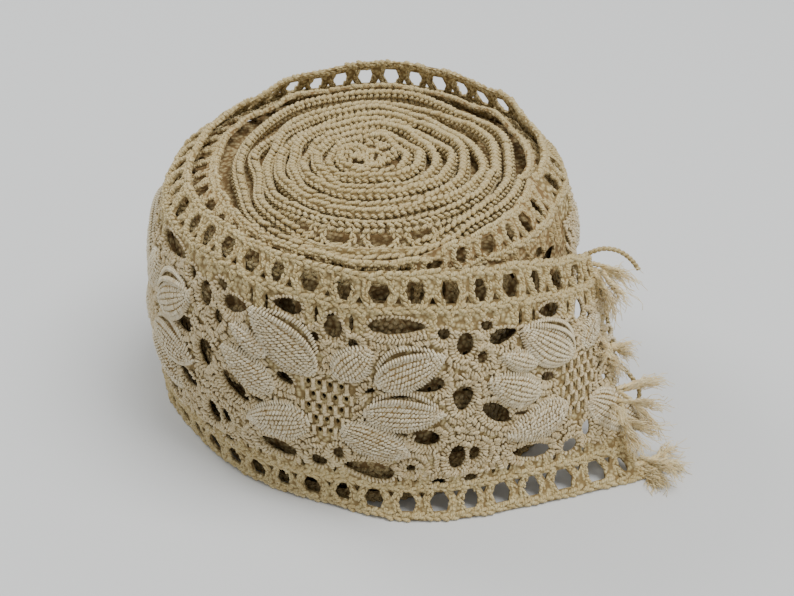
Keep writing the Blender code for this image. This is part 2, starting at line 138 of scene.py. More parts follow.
def rows(names, table):
    """Give each row of a table its column names."""
    return [dict(zip(names, values)) for values in table]


SECTION = columns(SECTION_COLUMNS, SECTIONS)
INNER = columns(INNER_COLUMNS, INNER_EDGES)
print("flower repeat", FLOWER_REPEAT, "mm, sections", len(SECTIONS))

# %% [markdown]
# A smooth curve through a few listed values gives the roll its soft shape. The
# same Catmull-Rom curve reads the tables round the drum and the profile up the
# trim's width. It works on whole arrays, because tens of thousands of stitches will
# ask it where they lie.


# %% A smooth curve through values, and small array helpers
def spline(values, keys, at):
    """A smooth curve through values at keys, read at many places."""
    values, keys, at = (np.asarray(item, float) for item in (values, keys, at))
    last = len(keys) - 1
    here = np.clip(np.searchsorted(keys, at, side="left") - 1, 0, last - 1)
    span = keys[here + 1] - keys[here]
    part = np.clip((at - keys[here]) / span, 0.0, 1.0)
    before = np.maximum(here - 1, 0)
    after = np.minimum(here + 2, last)
    start_slope = (values[here + 1] - values[before]) / (keys[here + 1] - keys[before]) * span
    end_slope = (values[after] - values[here]) / (keys[after] - keys[here]) * span
    square = part * part
    cube = square * part
    return ((2 * cube - 3 * square + 1) * values[here] + (cube - 2 * square + part) * start_slope
            + (3 * square - 2 * cube) * values[here + 1] + (cube - square) * end_slope)


def unit(vectors):
    """Vectors brought to length one, along their last axis."""
    return vectors / np.maximum(np.linalg.norm(vectors, axis=-1, keepdims=True), 1e-12)


def walked(points):
    """Length walked along a path of points, starting at nothing."""
    return np.concatenate(([0.0], np.cumsum(np.linalg.norm(np.diff(points, axis=0), axis=1))))


def around(radius, angle, level):
    """Points at a radius and an angle round the drum, at a height."""
    return np.stack(np.broadcast_arrays(radius * np.cos(angle), radius * np.sin(angle), level), 1)


def left_of(heading):
    """Flat directions a quarter turn to the left of others."""
    return np.stack((-heading[:, 1], heading[:, 0]), 1)


def along_path(at, reach, path):
    """Points at given lengths of a path, column by column."""
    return np.stack([np.interp(at, reach, path[:, k]) for k in range(path.shape[1])], 1)


# %% [markdown]
# The last turn is loose and open, and the turn under it shows through every hole.
# Both are one strip, so they share one map from flat trim to roll: a grid of points
# and outward directions, a degree apart round the drum and half a millimetre apart
# up the width. Turn one keeps a layer's distance inside the outer turn and runs
# into its start without a step. A small swell keeps the cloth from looking turned
# on a lathe, and nothing reaches below the floor.

# %% The map from the flat trim to the roll
STRIP_DEGREES = np.arange(TURN_START - 360.0, TURN_END + 0.5)
HEIGHT_STEP = 0.5
STRIP_HEIGHTS = np.arange(0.0, TRIM_WIDTH + 0.01, HEIGHT_STEP)
SWELL = 0.22


def inner_edge_radius(turn, turned):
    """Radius of an inner turn's top edge, and how far it is from the eye."""
    names = INNER_COLUMNS[1:]
    angles = INNER["turned"]
    if turn >= len(names):
        share = 1.0 - (turn - len(names) + (TURN_END - turned) / 360.0) / PACKED_TURNS
        keys = np.concatenate(([angles[-1] - 360], angles, [angles[0] + 360]))
        packed = INNER["packed_r"]
        radii = np.concatenate(([packed[-1]], packed, [packed[0]]))
        angle = np.where(turned < keys[0], turned + 360.0, turned)
        return spline(radii, keys, angle) * np.maximum(share, 0.0), share
    keys = []
    radii = []
    for step in range(-1, 2):
        inner = turn - 1 - step
        if 0 <= inner < len(names) - 1:
            keys.extend(angles + 360 * step)
            radii.extend(INNER[names[inner]])
    if turn == 1:
        keys.extend(SECTION["turned"][:4] + 360)
        radii.extend(SECTION["top_r"][:4])
    return spline(radii, keys, turned), np.ones_like(np.asarray(turned, float))


def strip_grid():
    """Points and outward directions of the strip, by degree and height."""
    inner = STRIP_DEGREES < TURN_START
    outward = np.where(inner, STRIP_DEGREES + 360.0, STRIP_DEGREES)
    read = {name: spline(SECTION[name], SECTION["turned"], outward) for name in SECTION_COLUMNS}
    start = {name: SECTION[name][0] for name in SECTION_COLUMNS}
    radii = []
    for name in PROFILE_RADII:
        tucked = np.minimum(read[name] - LAYER_INSET, start[name])
        if name == "top_r":
            tucked = inner_edge_radius(1, outward)[0]
        radii.append(np.where(inner, tucked, read[name]))
    drop = ANKLE_DROP * np.maximum(read["foot_r"] - read["ankle_r"], 0.0)
    shoulder = np.maximum(read["shoulder_z"], start["shoulder_z"])
    sagging = np.where(np.abs(outward - 260.0) < 32.0, read["top_z"] + 0.7, INNER_TOP)
    levels = (np.zeros_like(outward),
              np.where(inner, ANKLE_HEIGHT, ANKLE_HEIGHT - drop),
              np.where(inner, start["belly_z"], read["belly_z"]),
              np.where(inner, shoulder, read["shoulder_z"]),
              np.where(inner, np.minimum(INNER_TOP, sagging), read["top_z"]))
    lag = np.where(inner, 0.0, read["lag"])
    upward = STRIP_HEIGHTS / TRIM_WIDTH
    points = np.empty((len(outward), len(upward), 3))
    for index, turned in enumerate(STRIP_DEGREES):
        radius, level = (spline([value[index] for value in values], PROFILE_PLACES, STRIP_HEIGHTS)
                         for values in (radii, levels))
        angle = np.radians(turned - lag[index] * (1.0 - upward))
        points[index] = around(radius, angle, level)
    out = unit(np.cross(np.gradient(points, axis=0), np.gradient(points, axis=1)))
    way = np.radians(STRIP_DEGREES)[:, None]
    swell = np.sin(9.0 * way + 2.0 * upward) + 0.7 * np.sin(17.0 * way - 3.0 * upward)
    points += out * (SWELL * swell * upward)[..., None]
    points[..., 2] += SWELL * upward ** 3 * np.sin(13.0 * way)
    return points, out


STRIP_POINTS, STRIP_OUT = strip_grid()
WALK = walked(STRIP_POINTS[:, int(round(FLOWER_MIDDLE / HEIGHT_STEP))])
WALK -= WALK[int(TURN_START - STRIP_DEGREES[0])]
TURN_LENGTH = WALK[-1]
UNDER_LENGTH = -WALK[0]


def on_strip(length, height, depth):
    """Places on the roll, in metres, and outward directions, for flat places in mm."""
    row = np.interp(length, WALK, np.arange(len(WALK)))
    column = np.clip(height, 0.0, TRIM_WIDTH) / HEIGHT_STEP
    i = np.clip(row.astype(int), 0, len(WALK) - 2)
    j = np.clip(column.astype(int), 0, len(STRIP_HEIGHTS) - 2)
    fi = (row - i)[:, None]
    fj = (column - j)[:, None]

    def read(grid):
        low = grid[i, j] * (1 - fi) + grid[i + 1, j] * fi
        high = grid[i, j + 1] * (1 - fi) + grid[i + 1, j + 1] * fi
        return low * (1 - fj) + high * fj

    out = unit(read(STRIP_OUT))
    ahead = unit(STRIP_POINTS[-1, j] - STRIP_POINTS[-2, j])
    past = np.maximum(length - TURN_LENGTH, 0.0)[:, None]
    place = read(STRIP_POINTS) + out * np.asarray(depth)[:, None] + ahead * past
    place[:, 2] = np.maximum(place[:, 2], 0.0)
    return place * MM, out


print("outer turn %.1f mm, turn under it %.1f mm" % (TURN_LENGTH, UNDER_LENGTH))

# %% [markdown]
# Crochet cotton is a plied thread, and every stitch shows a short fat stretch of it.
# One stretch is drawn as a tapered capsule of four to six sides, squashed a little
# and shaded smooth. A stitch is a start, an end, a width and a thickness, so a whole
# edge is one array, and one function turns it into one mesh. Real geometry is chosen
# over bump here, because the holes and the shadows between the threads make the lace.

# %% Threads and plain meshes
THREAD_RINGS = ((0.13, 0.74), (0.5, 1.0), (0.87, 0.74))
LIGHT_RINGS = ((0.22, 0.86), (0.78, 0.86))


def thread_mesh(name, starts, ends, outs, widths, thicks, sides=6, rings=THREAD_RINGS):
    """One mesh of many tapered threads, with length and girth as UVs."""
    places, girths = np.array(rings).T
    along = np.concatenate(([0.0], np.repeat(places, sides), [1.0]))
    full = np.concatenate(([0.0], np.repeat(girths, sides), [0.0]))
    turn = 2 * math.pi * np.arange(sides) / sides
    angle = np.concatenate(([0.0], np.tile(turn, len(rings)), [0.0]))
    faces = []
    top = (len(rings) - 1) * sides
    for side in range(sides):
        here, after = 1 + side, 1 + (side + 1) % sides
        faces.append((0, after, here))
        for low in range(0, top, sides):
            faces.append((here + low, after + low, after + low + sides, here + low + sides))
        faces.append((here + top, after + top, len(along) - 1))
    axis = ends - starts
    heading = unit(axis)
    out = unit(outs - (outs * heading).sum(1, keepdims=True) * heading)
    aside = np.cross(out, heading)
    across = (full * np.cos(angle))[None, :, None] * (0.5 * widths[:, None, None])
    raised = (full * np.sin(angle))[None, :, None] * (0.5 * thicks[:, None, None])
    verts = (starts[:, None] + axis[:, None] * along[None, :, None]
             + aside[:, None] * across + out[:, None] * raised)
    verts[..., 2] = np.maximum(verts[..., 2], 0.0)
    corners = np.concatenate([np.array(face) for face in faces])
    loops = (corners[None] + len(along) * np.arange(len(starts))[:, None]).ravel()
    totals = np.tile([len(face) for face in faces], len(starts))
    firsts = np.concatenate(([0], np.cumsum(totals)[:-1]))
    mesh = bpy.data.meshes.new(name)
    mesh.vertices.add(len(starts) * len(along))
    mesh.vertices.foreach_set("co", verts.astype(np.float32).ravel())
    mesh.loops.add(len(loops))
    mesh.loops.foreach_set("vertex_index", loops.astype(np.int32))
    mesh.polygons.add(len(totals))
    mesh.polygons.foreach_set("loop_start", firsts.astype(np.int32))
    mesh.polygons.foreach_set("use_smooth", np.ones(len(totals), bool))
    mesh.update(calc_edges=True)
    length = np.linalg.norm(axis, axis=1, keepdims=True)
    u = (along[corners][None] * length / MM).ravel()
    v = np.tile(angle[corners] / (2 * math.pi), len(starts))
    layer = mesh.uv_layers.new(name="thread")
    layer.data.foreach_set("uv", np.stack((u, v), 1).astype(np.float32).ravel())
    return mesh


def plain_mesh(name, points, faces, smooth=True):
    """A mesh from points in metres and faces."""
    mesh = bpy.data.meshes.new(name)
    mesh.from_pydata(np.asarray(points, float).tolist(), [], faces)
    mesh.polygons.foreach_set("use_smooth", [smooth] * len(mesh.polygons))
    mesh.update()
    return mesh


def shell_faces(long, wide):
    """Faces of two grids of points back to back, closed round their rim."""
    count = long * wide
    grid = np.arange(count).reshape(long, wide)
    corners = (grid[:-1, :-1], grid[1:, :-1], grid[1:, 1:], grid[:-1, 1:])
    quads = np.stack(corners, -1).reshape(-1, 4)
    rim = np.concatenate((grid[0, :-1], grid[:-1, -1], grid[-1, :0:-1], grid[:0:-1, 0]))
    after = np.roll(rim, -1)
    walls = np.stack((rim, after, after + count, rim + count), 1)
    return np.concatenate((quads, quads[:, ::-1] + count, walls)).tolist()


def loft_faces(steps, sides, first=0):
    """Faces of a closed tube: quads between rings of corners, and two caps."""
    faces = []
    for low in range(first, first + (steps - 1) * sides, sides):
        for corner in range(sides):
            a, b = low + corner, low + (corner + 1) % sides
            faces.append((a, b, b + sides, a + sides))
    faces.append(tuple(range(first + sides - 1, first - 1, -1)))
    faces.append(tuple(range(first + (steps - 1) * sides, first + steps * sides)))
    return faces


def triangles_of(mesh):
    """How many triangles a mesh has."""
    return sum(len(face.vertices) - 2 for face in mesh.polygons)


# %% [markdown]
# The colours were matched under soft daylight. They are written the way a
# picker shows them, as sRGB hex, and one function makes them linear. One small
# function adds a node, sets it and links it, and the thread materials are made with it.


# %% Colour and node helpers
def linear(hex_colour):
    """A picker's hex colour as linear light, opaque."""
    parts = [int(hex_colour[index:index + 2], 16) / 255 for index in (1, 3, 5)]
    return (*(c / 12.92 if c <= 0.04045 else ((c + 0.055) / 1.055) ** 2.4 for c in parts), 1.0)


def add_node(tree, kind, settings=None, values=None, links=None):
    """Add a node, set its properties and sockets, and link its inputs."""
    node = tree.nodes.new(kind)
    for key, value in (settings or {}).items():
        setattr(node, key, value)
    for key, value in (values or {}).items():
        node.inputs[key].default_value = value
    for key, source in (links or {}).items():
        tree.links.new(source, node.inputs[key])
    return node


def new_material(name, values):
    """A material with one surface shader whose sockets are set, and its node tree."""
    material = bpy.data.materials.new(name)
    material.use_nodes = True
    shader = material.node_tree.nodes["Principled BSDF"]
    for key, value in values.items():
        shader.inputs[key].default_value = value
    return material, material.node_tree, shader


def noise(tree, place, size, detail, roughness=0.5):
    """Soft noise with blotches of a size in millimetres."""
    return add_node(tree, "ShaderNodeTexNoise", {},
                    {"Scale": 1 / (size * MM), "Detail": detail, "Roughness": roughness},
                    {"Vector": place.outputs["Object"]})


def two_tones(tree, source, low, low_colour, high, high_colour):
    """A colour ramp from one tone to another over a source."""
    ramp = add_node(tree, "ShaderNodeValToRGB", {}, {}, {"Fac": source})
    for element, place, colour in zip(ramp.color_ramp.elements, (low, high),
                                      (low_colour, high_colour)):
        element.position = place
        element.color = linear(colour)
    return ramp.outputs["Color"]


# %% [markdown]
# Crochet cotton is matte: its fibres scatter light, and a faint sheen of loose fibre
# softens its edges. Its plies twist about the thread, one every half millimetre or
# so, which a wave on the thread's own UVs draws as slanting bumps, with painted shade
# darkening the seams between them. The colour wanders a little between warm and pale,
# as undyed cotton does with age. Ambient occlusion is not used, because real gaps
# already darken by themselves; the shade in the ply seams, the close crochet and the
# turns inside is painted into their colours.


# %% Yarn and close crochet
PLY_LENGTH = 0.8
PLIES_ROUND = 1.2566
PLY_DEPTH = 0.14
FIBRE_DEPTH = 0.06
AGE_PATCH = 9.0
STITCH_PATCH = 0.9
FIBRE_GRAIN = 0.16


def yarn(name, pale, middle, deep, roughness, sheen, specular, ply, fibre, seam_shade):
    """A spun thread: wandering colour, painted shade in the seams between bumpy plies, fine fibres."""
    material, tree, shader = new_material(name, {
        "Roughness": roughness, "Specular IOR Level": specular, "Sheen Weight": sheen,
        "Sheen Roughness": 0.5})
    place = add_node(tree, "ShaderNodeTexCoord")
    stitches = noise(tree, place, STITCH_PATCH, 2.0)
    tones = two_tones(tree, stitches.outputs["Fac"], 0.30, deep, 0.68, pale)
    ages = noise(tree, place, AGE_PATCH, 3.0)
    mixed = add_node(tree, "ShaderNodeMix", {"data_type": "RGBA"}, {7: linear(middle)},
                     {6: tones, 0: ages.outputs["Fac"]})
    turn = add_node(tree, "ShaderNodeMapping", {}, {"Scale": (1.0 / PLY_LENGTH, PLIES_ROUND, 1.0)},
                    {"Vector": place.outputs["UV"]})
    plies = add_node(tree, "ShaderNodeTexWave",
                     {"wave_type": "BANDS", "bands_direction": "DIAGONAL"},
                     {"Scale": 1.0, "Distortion": 0.4, "Detail": 1.0}, {"Vector": turn.outputs[0]})
    # Painted shade: the deep colour is mixed into the seams between the plies.
    seams = add_node(tree, "ShaderNodeMapRange", {}, {1: 0.0, 2: 0.45, 3: seam_shade, 4: 0.0},
                     {"Value": plies.outputs["Fac"]})
    seam_shaded = add_node(tree, "ShaderNodeMix", {"data_type": "RGBA"}, {7: linear(deep)},
                      {6: mixed.outputs[2], 0: seams.outputs["Result"]})
    tree.links.new(seam_shaded.outputs[2], shader.inputs["Base Color"])
    fibres = noise(tree, place, FIBRE_GRAIN, 2.0, 0.65)
    bump = add_node(tree, "ShaderNodeBump", {}, {"Strength": ply, "Distance": PLY_DEPTH * MM},
                    {"Height": plies.outputs["Fac"]})
    bump = add_node(tree, "ShaderNodeBump", {}, {"Strength": fibre, "Distance": FIBRE_DEPTH * MM},
                    {"Height": fibres.outputs["Fac"], "Normal": bump.outputs[0]})
    tree.links.new(bump.outputs[0], shader.inputs["Normal"])
    return material


def ground(name, pale, deep, grain, depth):
    """Close small stitches, each one cell: pale on top, with painted shade deep in the seams."""
    material, tree, shader = new_material(name, {"Roughness": 0.92, "Specular IOR Level": 0.15})
    place = add_node(tree, "ShaderNodeTexCoord")
    cells = add_node(tree, "ShaderNodeTexVoronoi", {"feature": "SMOOTH_F1"},
                     {"Scale": 1 / (grain * MM), "Smoothness": 0.3},
                     {"Vector": place.outputs["Object"]}).outputs["Distance"]
    # Painted shade: the deep colour fills the seams between the cells.
    tree.links.new(two_tones(tree, cells, 0.15, pale, 0.62, deep), shader.inputs["Base Color"])
    bump = add_node(tree, "ShaderNodeBump", {"invert": True},
                    {"Strength": 1.0, "Distance": depth * MM}, {"Height": cells})
    tree.links.new(bump.outputs[0], shader.inputs["Normal"])
    return material


# Matte ecru cotton of rails, ladders and ropes; its clear plies catch the light.
crochet_cotton = yarn("crochet_cotton", "#e1d2a4", "#cdba86", "#ab8f5c",
                      0.88, 0.15, 0.2, 0.9, 0.5, 0.42)
# The same cotton one turn in, painted duller and darker as shade, so the holes read deep.
shaded_cotton = yarn("shaded_cotton", "#d2c193", "#b9a476", "#95794c",
                     0.95, 0.0, 0.1, 0.6, 0.4, 0.4)
# Slightly silkier thread of bars, hole rims and flower centres; small soft glints.
bar_cotton = yarn("bar_cotton", "#e8dab4", "#d3c094", "#ab9265", 0.55, 0.1, 0.45, 0.5, 0.4, 0.35)
# Mercerised cotton wrapped over the leaves: the palest and glossiest thread here.
silky_cotton = yarn("mercerised_cotton", "#f2e9d0", "#dccfa9", "#b39869",
                    0.32, 0.1, 0.7, 0.4, 0.3, 0.3)
# Mercerised cotton in the shade of the outer turn.
deep_silk = yarn("deep_mercerised_cotton", "#c6b68e", "#a99468", "#80693f",
                 0.5, 0.0, 0.4, 0.3, 0.3, 0.3)
# Untwisted fibre of the cut ends: fluffy, pale and without seams.
frayed_cotton = yarn("frayed_cotton", "#faeec6", "#edd9a2", "#cfab6a",
                     0.9, 0.5, 0.2, 0.1, 0.3, 0.0)
# Close crochet between the raised stitches, painted darker than the thread on top as
# shade, then the same with more painted shade for the turns inside, then the tighter
# one under the leaves' wraps: pale pips with painted shade in the brown seams.
close_ground = ground("close_crochet", "#d2c191", "#85704a", 0.80, 0.35)
deep_ground = ground("deep_close_crochet", "#c9b585", "#806743", 0.85, 0.35)
leaf_ground = ground("close_silky_crochet", "#d8c9a2", "#94794c", 0.62, 0.25)
print("materials:", [m.name for m in bpy.data.materials])


def add_piece(name, mesh, material, *replaced):
    """Put a mesh in the scene as a piece of the roll."""
    mesh.materials.append(material)
    piece = bpy.data.objects.new(name, mesh)
    bpy.context.scene.collection.objects.link(piece)
    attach(piece, "root")
    if replaced:
        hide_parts(*replaced)
    print(name, triangles_of(mesh), "triangles")
    return piece


# %% [markdown]
# The flower is drawn once from its middle, as a crocheter's chart would give it:
# eight leaves, the gaps between them, and the small mesh in the centre. The rows
# below are in millimetres from the flower's middle. A traditional leaf-and-mesh
# pattern like this is repeated along the whole strip. One more leaf has worked
# loose beside the cut end.

# %% One flower repeat
LEAF_COLUMNS = ("base_along", "base_up", "tip_along", "tip_up", "width", "ridge")
LEAVES = (
    (6.3, -0.7, 19.4, -0.6, 6.6, 1),
    (8.2, 5.0, 18.8, 10.8, 6.8, 1),
    (2.0, 5.5, 7.2, 12.0, 6.0, 0),
    (-1.6, 5.6, -12.6, 14.2, 7.8, -1),
    (-9.5, 6.6, -16.4, 9.9, 3.8, 0),
    (-8.4, 0.4, -18.4, 5.4, 6.4, 0),
    (-2.6, -4.0, -13.8, -6.6, 7.6, 0),
    (2.7, -4.4, 14.2, -8.4, 7.0, 0),
)
LOOSE_LEAVES = ((2.4, -5.2, 16.0, -13.2, 6.4, 0),)
GAP_COLUMNS = ("along", "up", "length", "width", "tilt")
GAPS = (
    (11.2, 15.9, 9.4, 3.2, 0), (1.3, 14.8, 4.8, 3.2, 90), (-6.2, 16.4, 5.2, 3.0, 0),
    (-15.8, 13.2, 5.4, 3.0, 12), (-16.0, -1.6, 7.0, 3.2, -36), (-8.6, -11.2, 7.4, 3.0, -10),
    (7.4, -12.6, 9.2, 3.6, -2), (16.6, -5.2, 5.4, 3.4, -16), (16.6, 4.9, 5.4, 3.0, 14),
    (22.4, 2.0, 5.2, 3.6, 90), (22.4, -9.6, 5.0, 3.2, 90), (22.3, 12.4, 4.6, 3.2, 90),
    (-6.6, 3.1, 3.4, 2.0, -30), (-1.2, -12.2, 3.0, 2.6, 0), (2.1, -10.1, 2.0, 2.8, 0),
    (4.5, 12.2, 1.7, 2.0, 0), (-1.6, 12.0, 1.5, 2.0, 0), (7.2, 3.4, 2.0, 1.2, 30),
    (7.6, -3.0, 2.2, 1.0, -30), (-19.4, -9.2, 2.2, 3.2, 0), (-19.4, 9.6, 2.0, 2.6, 0),
    (14.6, -11.4, 1.8, 1.5, 0), (19.6, -14.4, 2.6, 1.7, 0), (25.2, -14.2, 2.6, 1.8, 0),
    (18.6, 14.6, 2.2, 2.4, 30), (26.0, 15.4, 2.4, 2.0, -30), (13.0, 2.9, 5.0, 0.9, 8),
    (12.4, -4.4, 5.0, 0.9, -20), (-12.6, 7.6, 3.6, 0.9, -30), (-11.4, -2.6, 4.8, 1.0, -14),
)
CENTRE_HOLE_PITCH = 1.8
CENTRE_ROW_PITCH = 2.3
PINHOLE = (1.1, 0.75)
CENTRE_ROWS = ((3.6, 4, 0.0), (1.3, 4, 0.8), (-1.0, 4, 0.0), (-3.3, 3, 0.3), (-5.6, 2, 0.0))


def flowers(first, last):
    """Where flowers lie along a stretch of the trim."""
    middle = TURN_LENGTH - END_PAST_FLOWER + FLOWER_REPEAT
    found = []
    while middle > first - FLOWER_REPEAT:
        if middle < last + FLOWER_REPEAT:
            found.append(middle)
        middle -= FLOWER_REPEAT
    return found


def ladder_posts(first, last):
    """Where the ladder's crossed bars stand along a stretch of the trim."""
    flower = TURN_LENGTH - END_PAST_FLOWER
    low = int(math.ceil((first - flower) / LADDER_PITCH))
    high = int(math.floor((last - flower) / LADDER_PITCH))
    return [flower + index * LADDER_PITCH for index in range(low, high + 1)]


def wandered(post):
    """A post's own place, a little off the even pitch, as hands make it."""
    return post + 0.28 * math.sin(post * 1.7) + 0.16 * math.sin(post * 4.1 + 1.0)


def oval(along, up, length, width, tilt, sides, taper=0.0):
    """The corners of a rounded gap, egg-shaped where it tapers."""
    turn = math.radians(tilt)
    angle = 2 * math.pi * np.arange(sides) / sides
    x = 0.5 * length * np.cos(angle)
    y = 0.5 * width * np.sin(angle) * (1.0 + taper * np.cos(angle))
    return np.stack((along + x * math.cos(turn) - y * math.sin(turn),
                     up + x * math.sin(turn) + y * math.cos(turn)), 1)


def ladder_gaps(between, post, near, far):
    """The hole between two posts and the three-cornered gap between a post's feet."""
    waist = 0.5 * (near + far)
    tip = near + math.copysign(CROTCH_RISE, far - near)
    hole = np.array([(-WAIST_HOLE, waist), (-NEAR_HOLE, near), (NEAR_HOLE, near),
                     (WAIST_HOLE, waist), (FAR_HOLE, far), (-FAR_HOLE, far)])
    crotch = np.array([(-CROTCH_HALF, near), (CROTCH_HALF, near), (0.0, tip)])
    order = -1 if far < near else 1
    return [hole[::order] + (between, 0.0), crotch[::order] + (post, 0.0)]


print("leaves in a flower:", len(LEAVES), "gaps:", len(GAPS))

# %% [markdown]
# Under the raised threads lies a thin close web of the same cotton. It is cut like
# stencil work: a rectangle with every hole and bend line in it is split into
# triangles, those inside holes are dropped, and the rest is bent round the drum and
# given its thickness. Delaunay's method is chosen because it keeps each hole's edge
# exactly where it was drawn.

# %% The web that carries the stitches
WEB_THICKNESS = 0.5
WEB_INSET = 0.3
GAP_TAPER = 0.36
GAP_MARGIN = 0.4
END_HOLE = (2.7, 3.0, 1.3)


def gap_shapes(first, last):
    """Holes along a stretch: those of the flowers, then ladders, slits and pinholes."""
    belt = []
    fine = []
    for flower in flowers(first, last):
        for gap in rows(GAP_COLUMNS, GAPS):
            belt.append(oval(flower + gap["along"], FLOWER_MIDDLE + gap["up"], gap["length"],
                             gap["width"], gap["tilt"], 10,
                             GAP_TAPER * math.sin(gap["along"] + 2.0 * gap["up"])))
    for post in ladder_posts(first, last):
        between = 0.5 * (wandered(post) + wandered(post + LADDER_PITCH))
        for near, far in LADDERS:
            fine += ladder_gaps(between, wandered(post), near, far)
        for height, length in SLITS:
            for middle in (post + 0.25 * LADDER_PITCH, post + 0.75 * LADDER_PITCH):
                probe = [(middle, height + step * length) for step in (-0.5, 0.0, 0.5)]
                if not inside_any(np.array(probe), belt, 0.55).any():
                    fine.append(oval(middle, height, length, SLIT_WIDTH, 90, 6))
    back, length, width = END_HOLE
    for near, far in LADDERS:
        fine.append(oval(TURN_LENGTH - back, 0.5 * (near + far), length, width, 90, 8))
    for flower in flowers(first, last):
        for level, holes, shift in CENTRE_ROWS:
            for hole in range(holes):
                fine.append(oval(flower + (hole - 0.5 * (holes - 1)) * CENTRE_HOLE_PITCH + shift,
                                 FLOWER_MIDDLE + level, *PINHOLE, 90, 6))
    return [[shape for shape in shapes if shape[:, 0].min() > first + GAP_MARGIN
             and shape[:, 0].max() < last - GAP_MARGIN] for shapes in (belt, fine)]


def inside_any(spots, shapes, grow=0.0):
    """Which flat spots lie in any of the convex shapes, grown by a margin."""
    found = np.zeros(len(spots), bool)
    for corners in shapes:
        middle = corners.mean(0)
        reach = np.linalg.norm(corners - middle, axis=1).max() + grow
        near = np.flatnonzero((np.abs(spots - middle) < reach).all(1) & ~found)
        if len(near) == 0:
            continue
        inside = np.ones(len(near), bool)
        for a, b in zip(corners, np.roll(corners, -1, 0)):
            edge = (b - a) / np.linalg.norm(b - a)
            inside &= edge[0] * (spots[near, 1] - a[1]) - edge[1] * (spots[near, 0] - a[0]) > -grow
        found[near[inside]] = True
    return found


def web_sheet(name, first, last, shapes):
    """The thin perforated web of a stretch of the trim, and its flat area."""
    spots = []
    lines = []

    def add_line(ends, closed=False):
        start = len(spots)
        spots.extend(Vector(end) for end in ends)
        lines.extend((start + index, start + index + 1) for index in range(len(ends) - 1))
        if closed:
            lines.append((len(spots) - 1, start))

    foot, head = WEB_INSET, TRIM_WIDTH - WEB_INSET
    add_line([(first, foot), (last, foot), (last, head), (first, head)], closed=True)
    for height in BEND_LINES:
        add_line([(first, height), (last, height)])
    for post in ladder_posts(first + 1.0, last - 1.0):
        add_line([(post, foot), (post, head)])
    for shape in shapes:
        add_line(shape, closed=True)
    flat, _, faces, *_ = delaunay_2d_cdt(spots, lines, [], 0, 0.0001)
    flat = np.array([tuple(spot) for spot in flat])
    faces = np.array([tuple(face) for face in faces])
    faces = faces[~inside_any(flat[faces].mean(1), shapes)]
    a, b, c = (flat[faces[:, corner]] for corner in range(3))
    twice = (b[:, 0] - a[:, 0]) * (c[:, 1] - a[:, 1]) - (b[:, 1] - a[:, 1]) * (c[:, 0] - a[:, 0])
    faces = np.where((twice < 0)[:, None], faces[:, ::-1], faces)
    used, packed = np.unique(faces, return_inverse=True)
    faces = packed.reshape(faces.shape)
    flat = flat[used]
    half = np.full(len(flat), 0.5 * WEB_THICKNESS)
    count = len(flat)
    points = [on_strip(flat[:, 0], flat[:, 1], side)[0] for side in (half, -half)]
    directed = np.concatenate((faces[:, [0, 1]], faces[:, [1, 2]], faces[:, [2, 0]]))
    keys = directed[:, 0] * count + directed[:, 1]
    rim = directed[~np.isin(keys, directed[:, 1] * count + directed[:, 0])]
    wall = np.stack((rim[:, 1], rim[:, 0], rim[:, 0] + count, rim[:, 1] + count), 1)
    polygons = faces.tolist() + (faces[:, ::-1] + count).tolist() + wall.tolist()
    mesh = plain_mesh(name, np.concatenate(points), polygons, smooth=False)
    return mesh, float(np.abs(twice).sum() * 0.5 * MM * MM)


OUTER = (0.0, TURN_LENGTH)
UNDER = (-UNDER_LENGTH, 0.0)
OUTER_BELT, OUTER_FINE = gap_shapes(*OUTER)
UNDER_BELT, UNDER_FINE = gap_shapes(*UNDER)
outer_mesh, outer_area = web_sheet("outer_web", *OUTER, OUTER_BELT + OUTER_FINE)
under_mesh, under_area = web_sheet("under_web", *UNDER, UNDER_BELT + UNDER_FINE)
# Both webs carry painted shade: the outer one darker than its threads, the one under it darker still.
outer_web = add_piece("outer_web", outer_mesh, close_ground, "outer_turn")
under_web = add_piece("under_web", under_mesh, deep_ground)

# %% [markdown]
# The edges are chain stitch: a row of V shapes, each coming out of the one before.
# A stitch list holds flat starts and ends with depth, then width and thickness. Two
# slanting threads to each pitch give the V. One seeded generator gives every stitch
# its small unevenness, in the order the pieces are made.


# %% Stitch lists
RANDOM = np.random.default_rng(11)
STITCH_PITCH = 1.34
# Where a thread of the V starts and ends: along in pitches, aside in widths and deep
# in thicknesses, then the thread's own width and thickness as shares of the chain's
V_START, V_END = (-0.84, -0.05, -0.16), (0.56, 0.35, 0.14)
V_WIDTH, V_THICK = 0.44, 0.82


def jitter(spread, *shape):
    """Small random steps, as hands make them."""
    return RANDOM.normal(0.0, spread, shape)


def resample(path, pitch):
    """Even points along a flat path, with their headings."""
    path = np.asarray(path, float)
    reach = walked(path)
    count = max(int(round(reach[-1] / pitch)), 1)
    at = (np.arange(count) + 0.5) * reach[-1] / count
    little = 0.3 * pitch
    heading = along_path(at + little, reach, path) - along_path(at - little, reach, path)
    return along_path(at, reach, path), unit(heading)


def stitch_list(start, end, *columns_after):
    """Rows of start and end (along, up, depth), width and thickness."""
    depth_start, depth_end, width, thick = (
        np.broadcast_to(np.asarray(value, float), (len(start),)) for value in columns_after)
    return np.column_stack((start, depth_start, end, depth_end, width, thick))


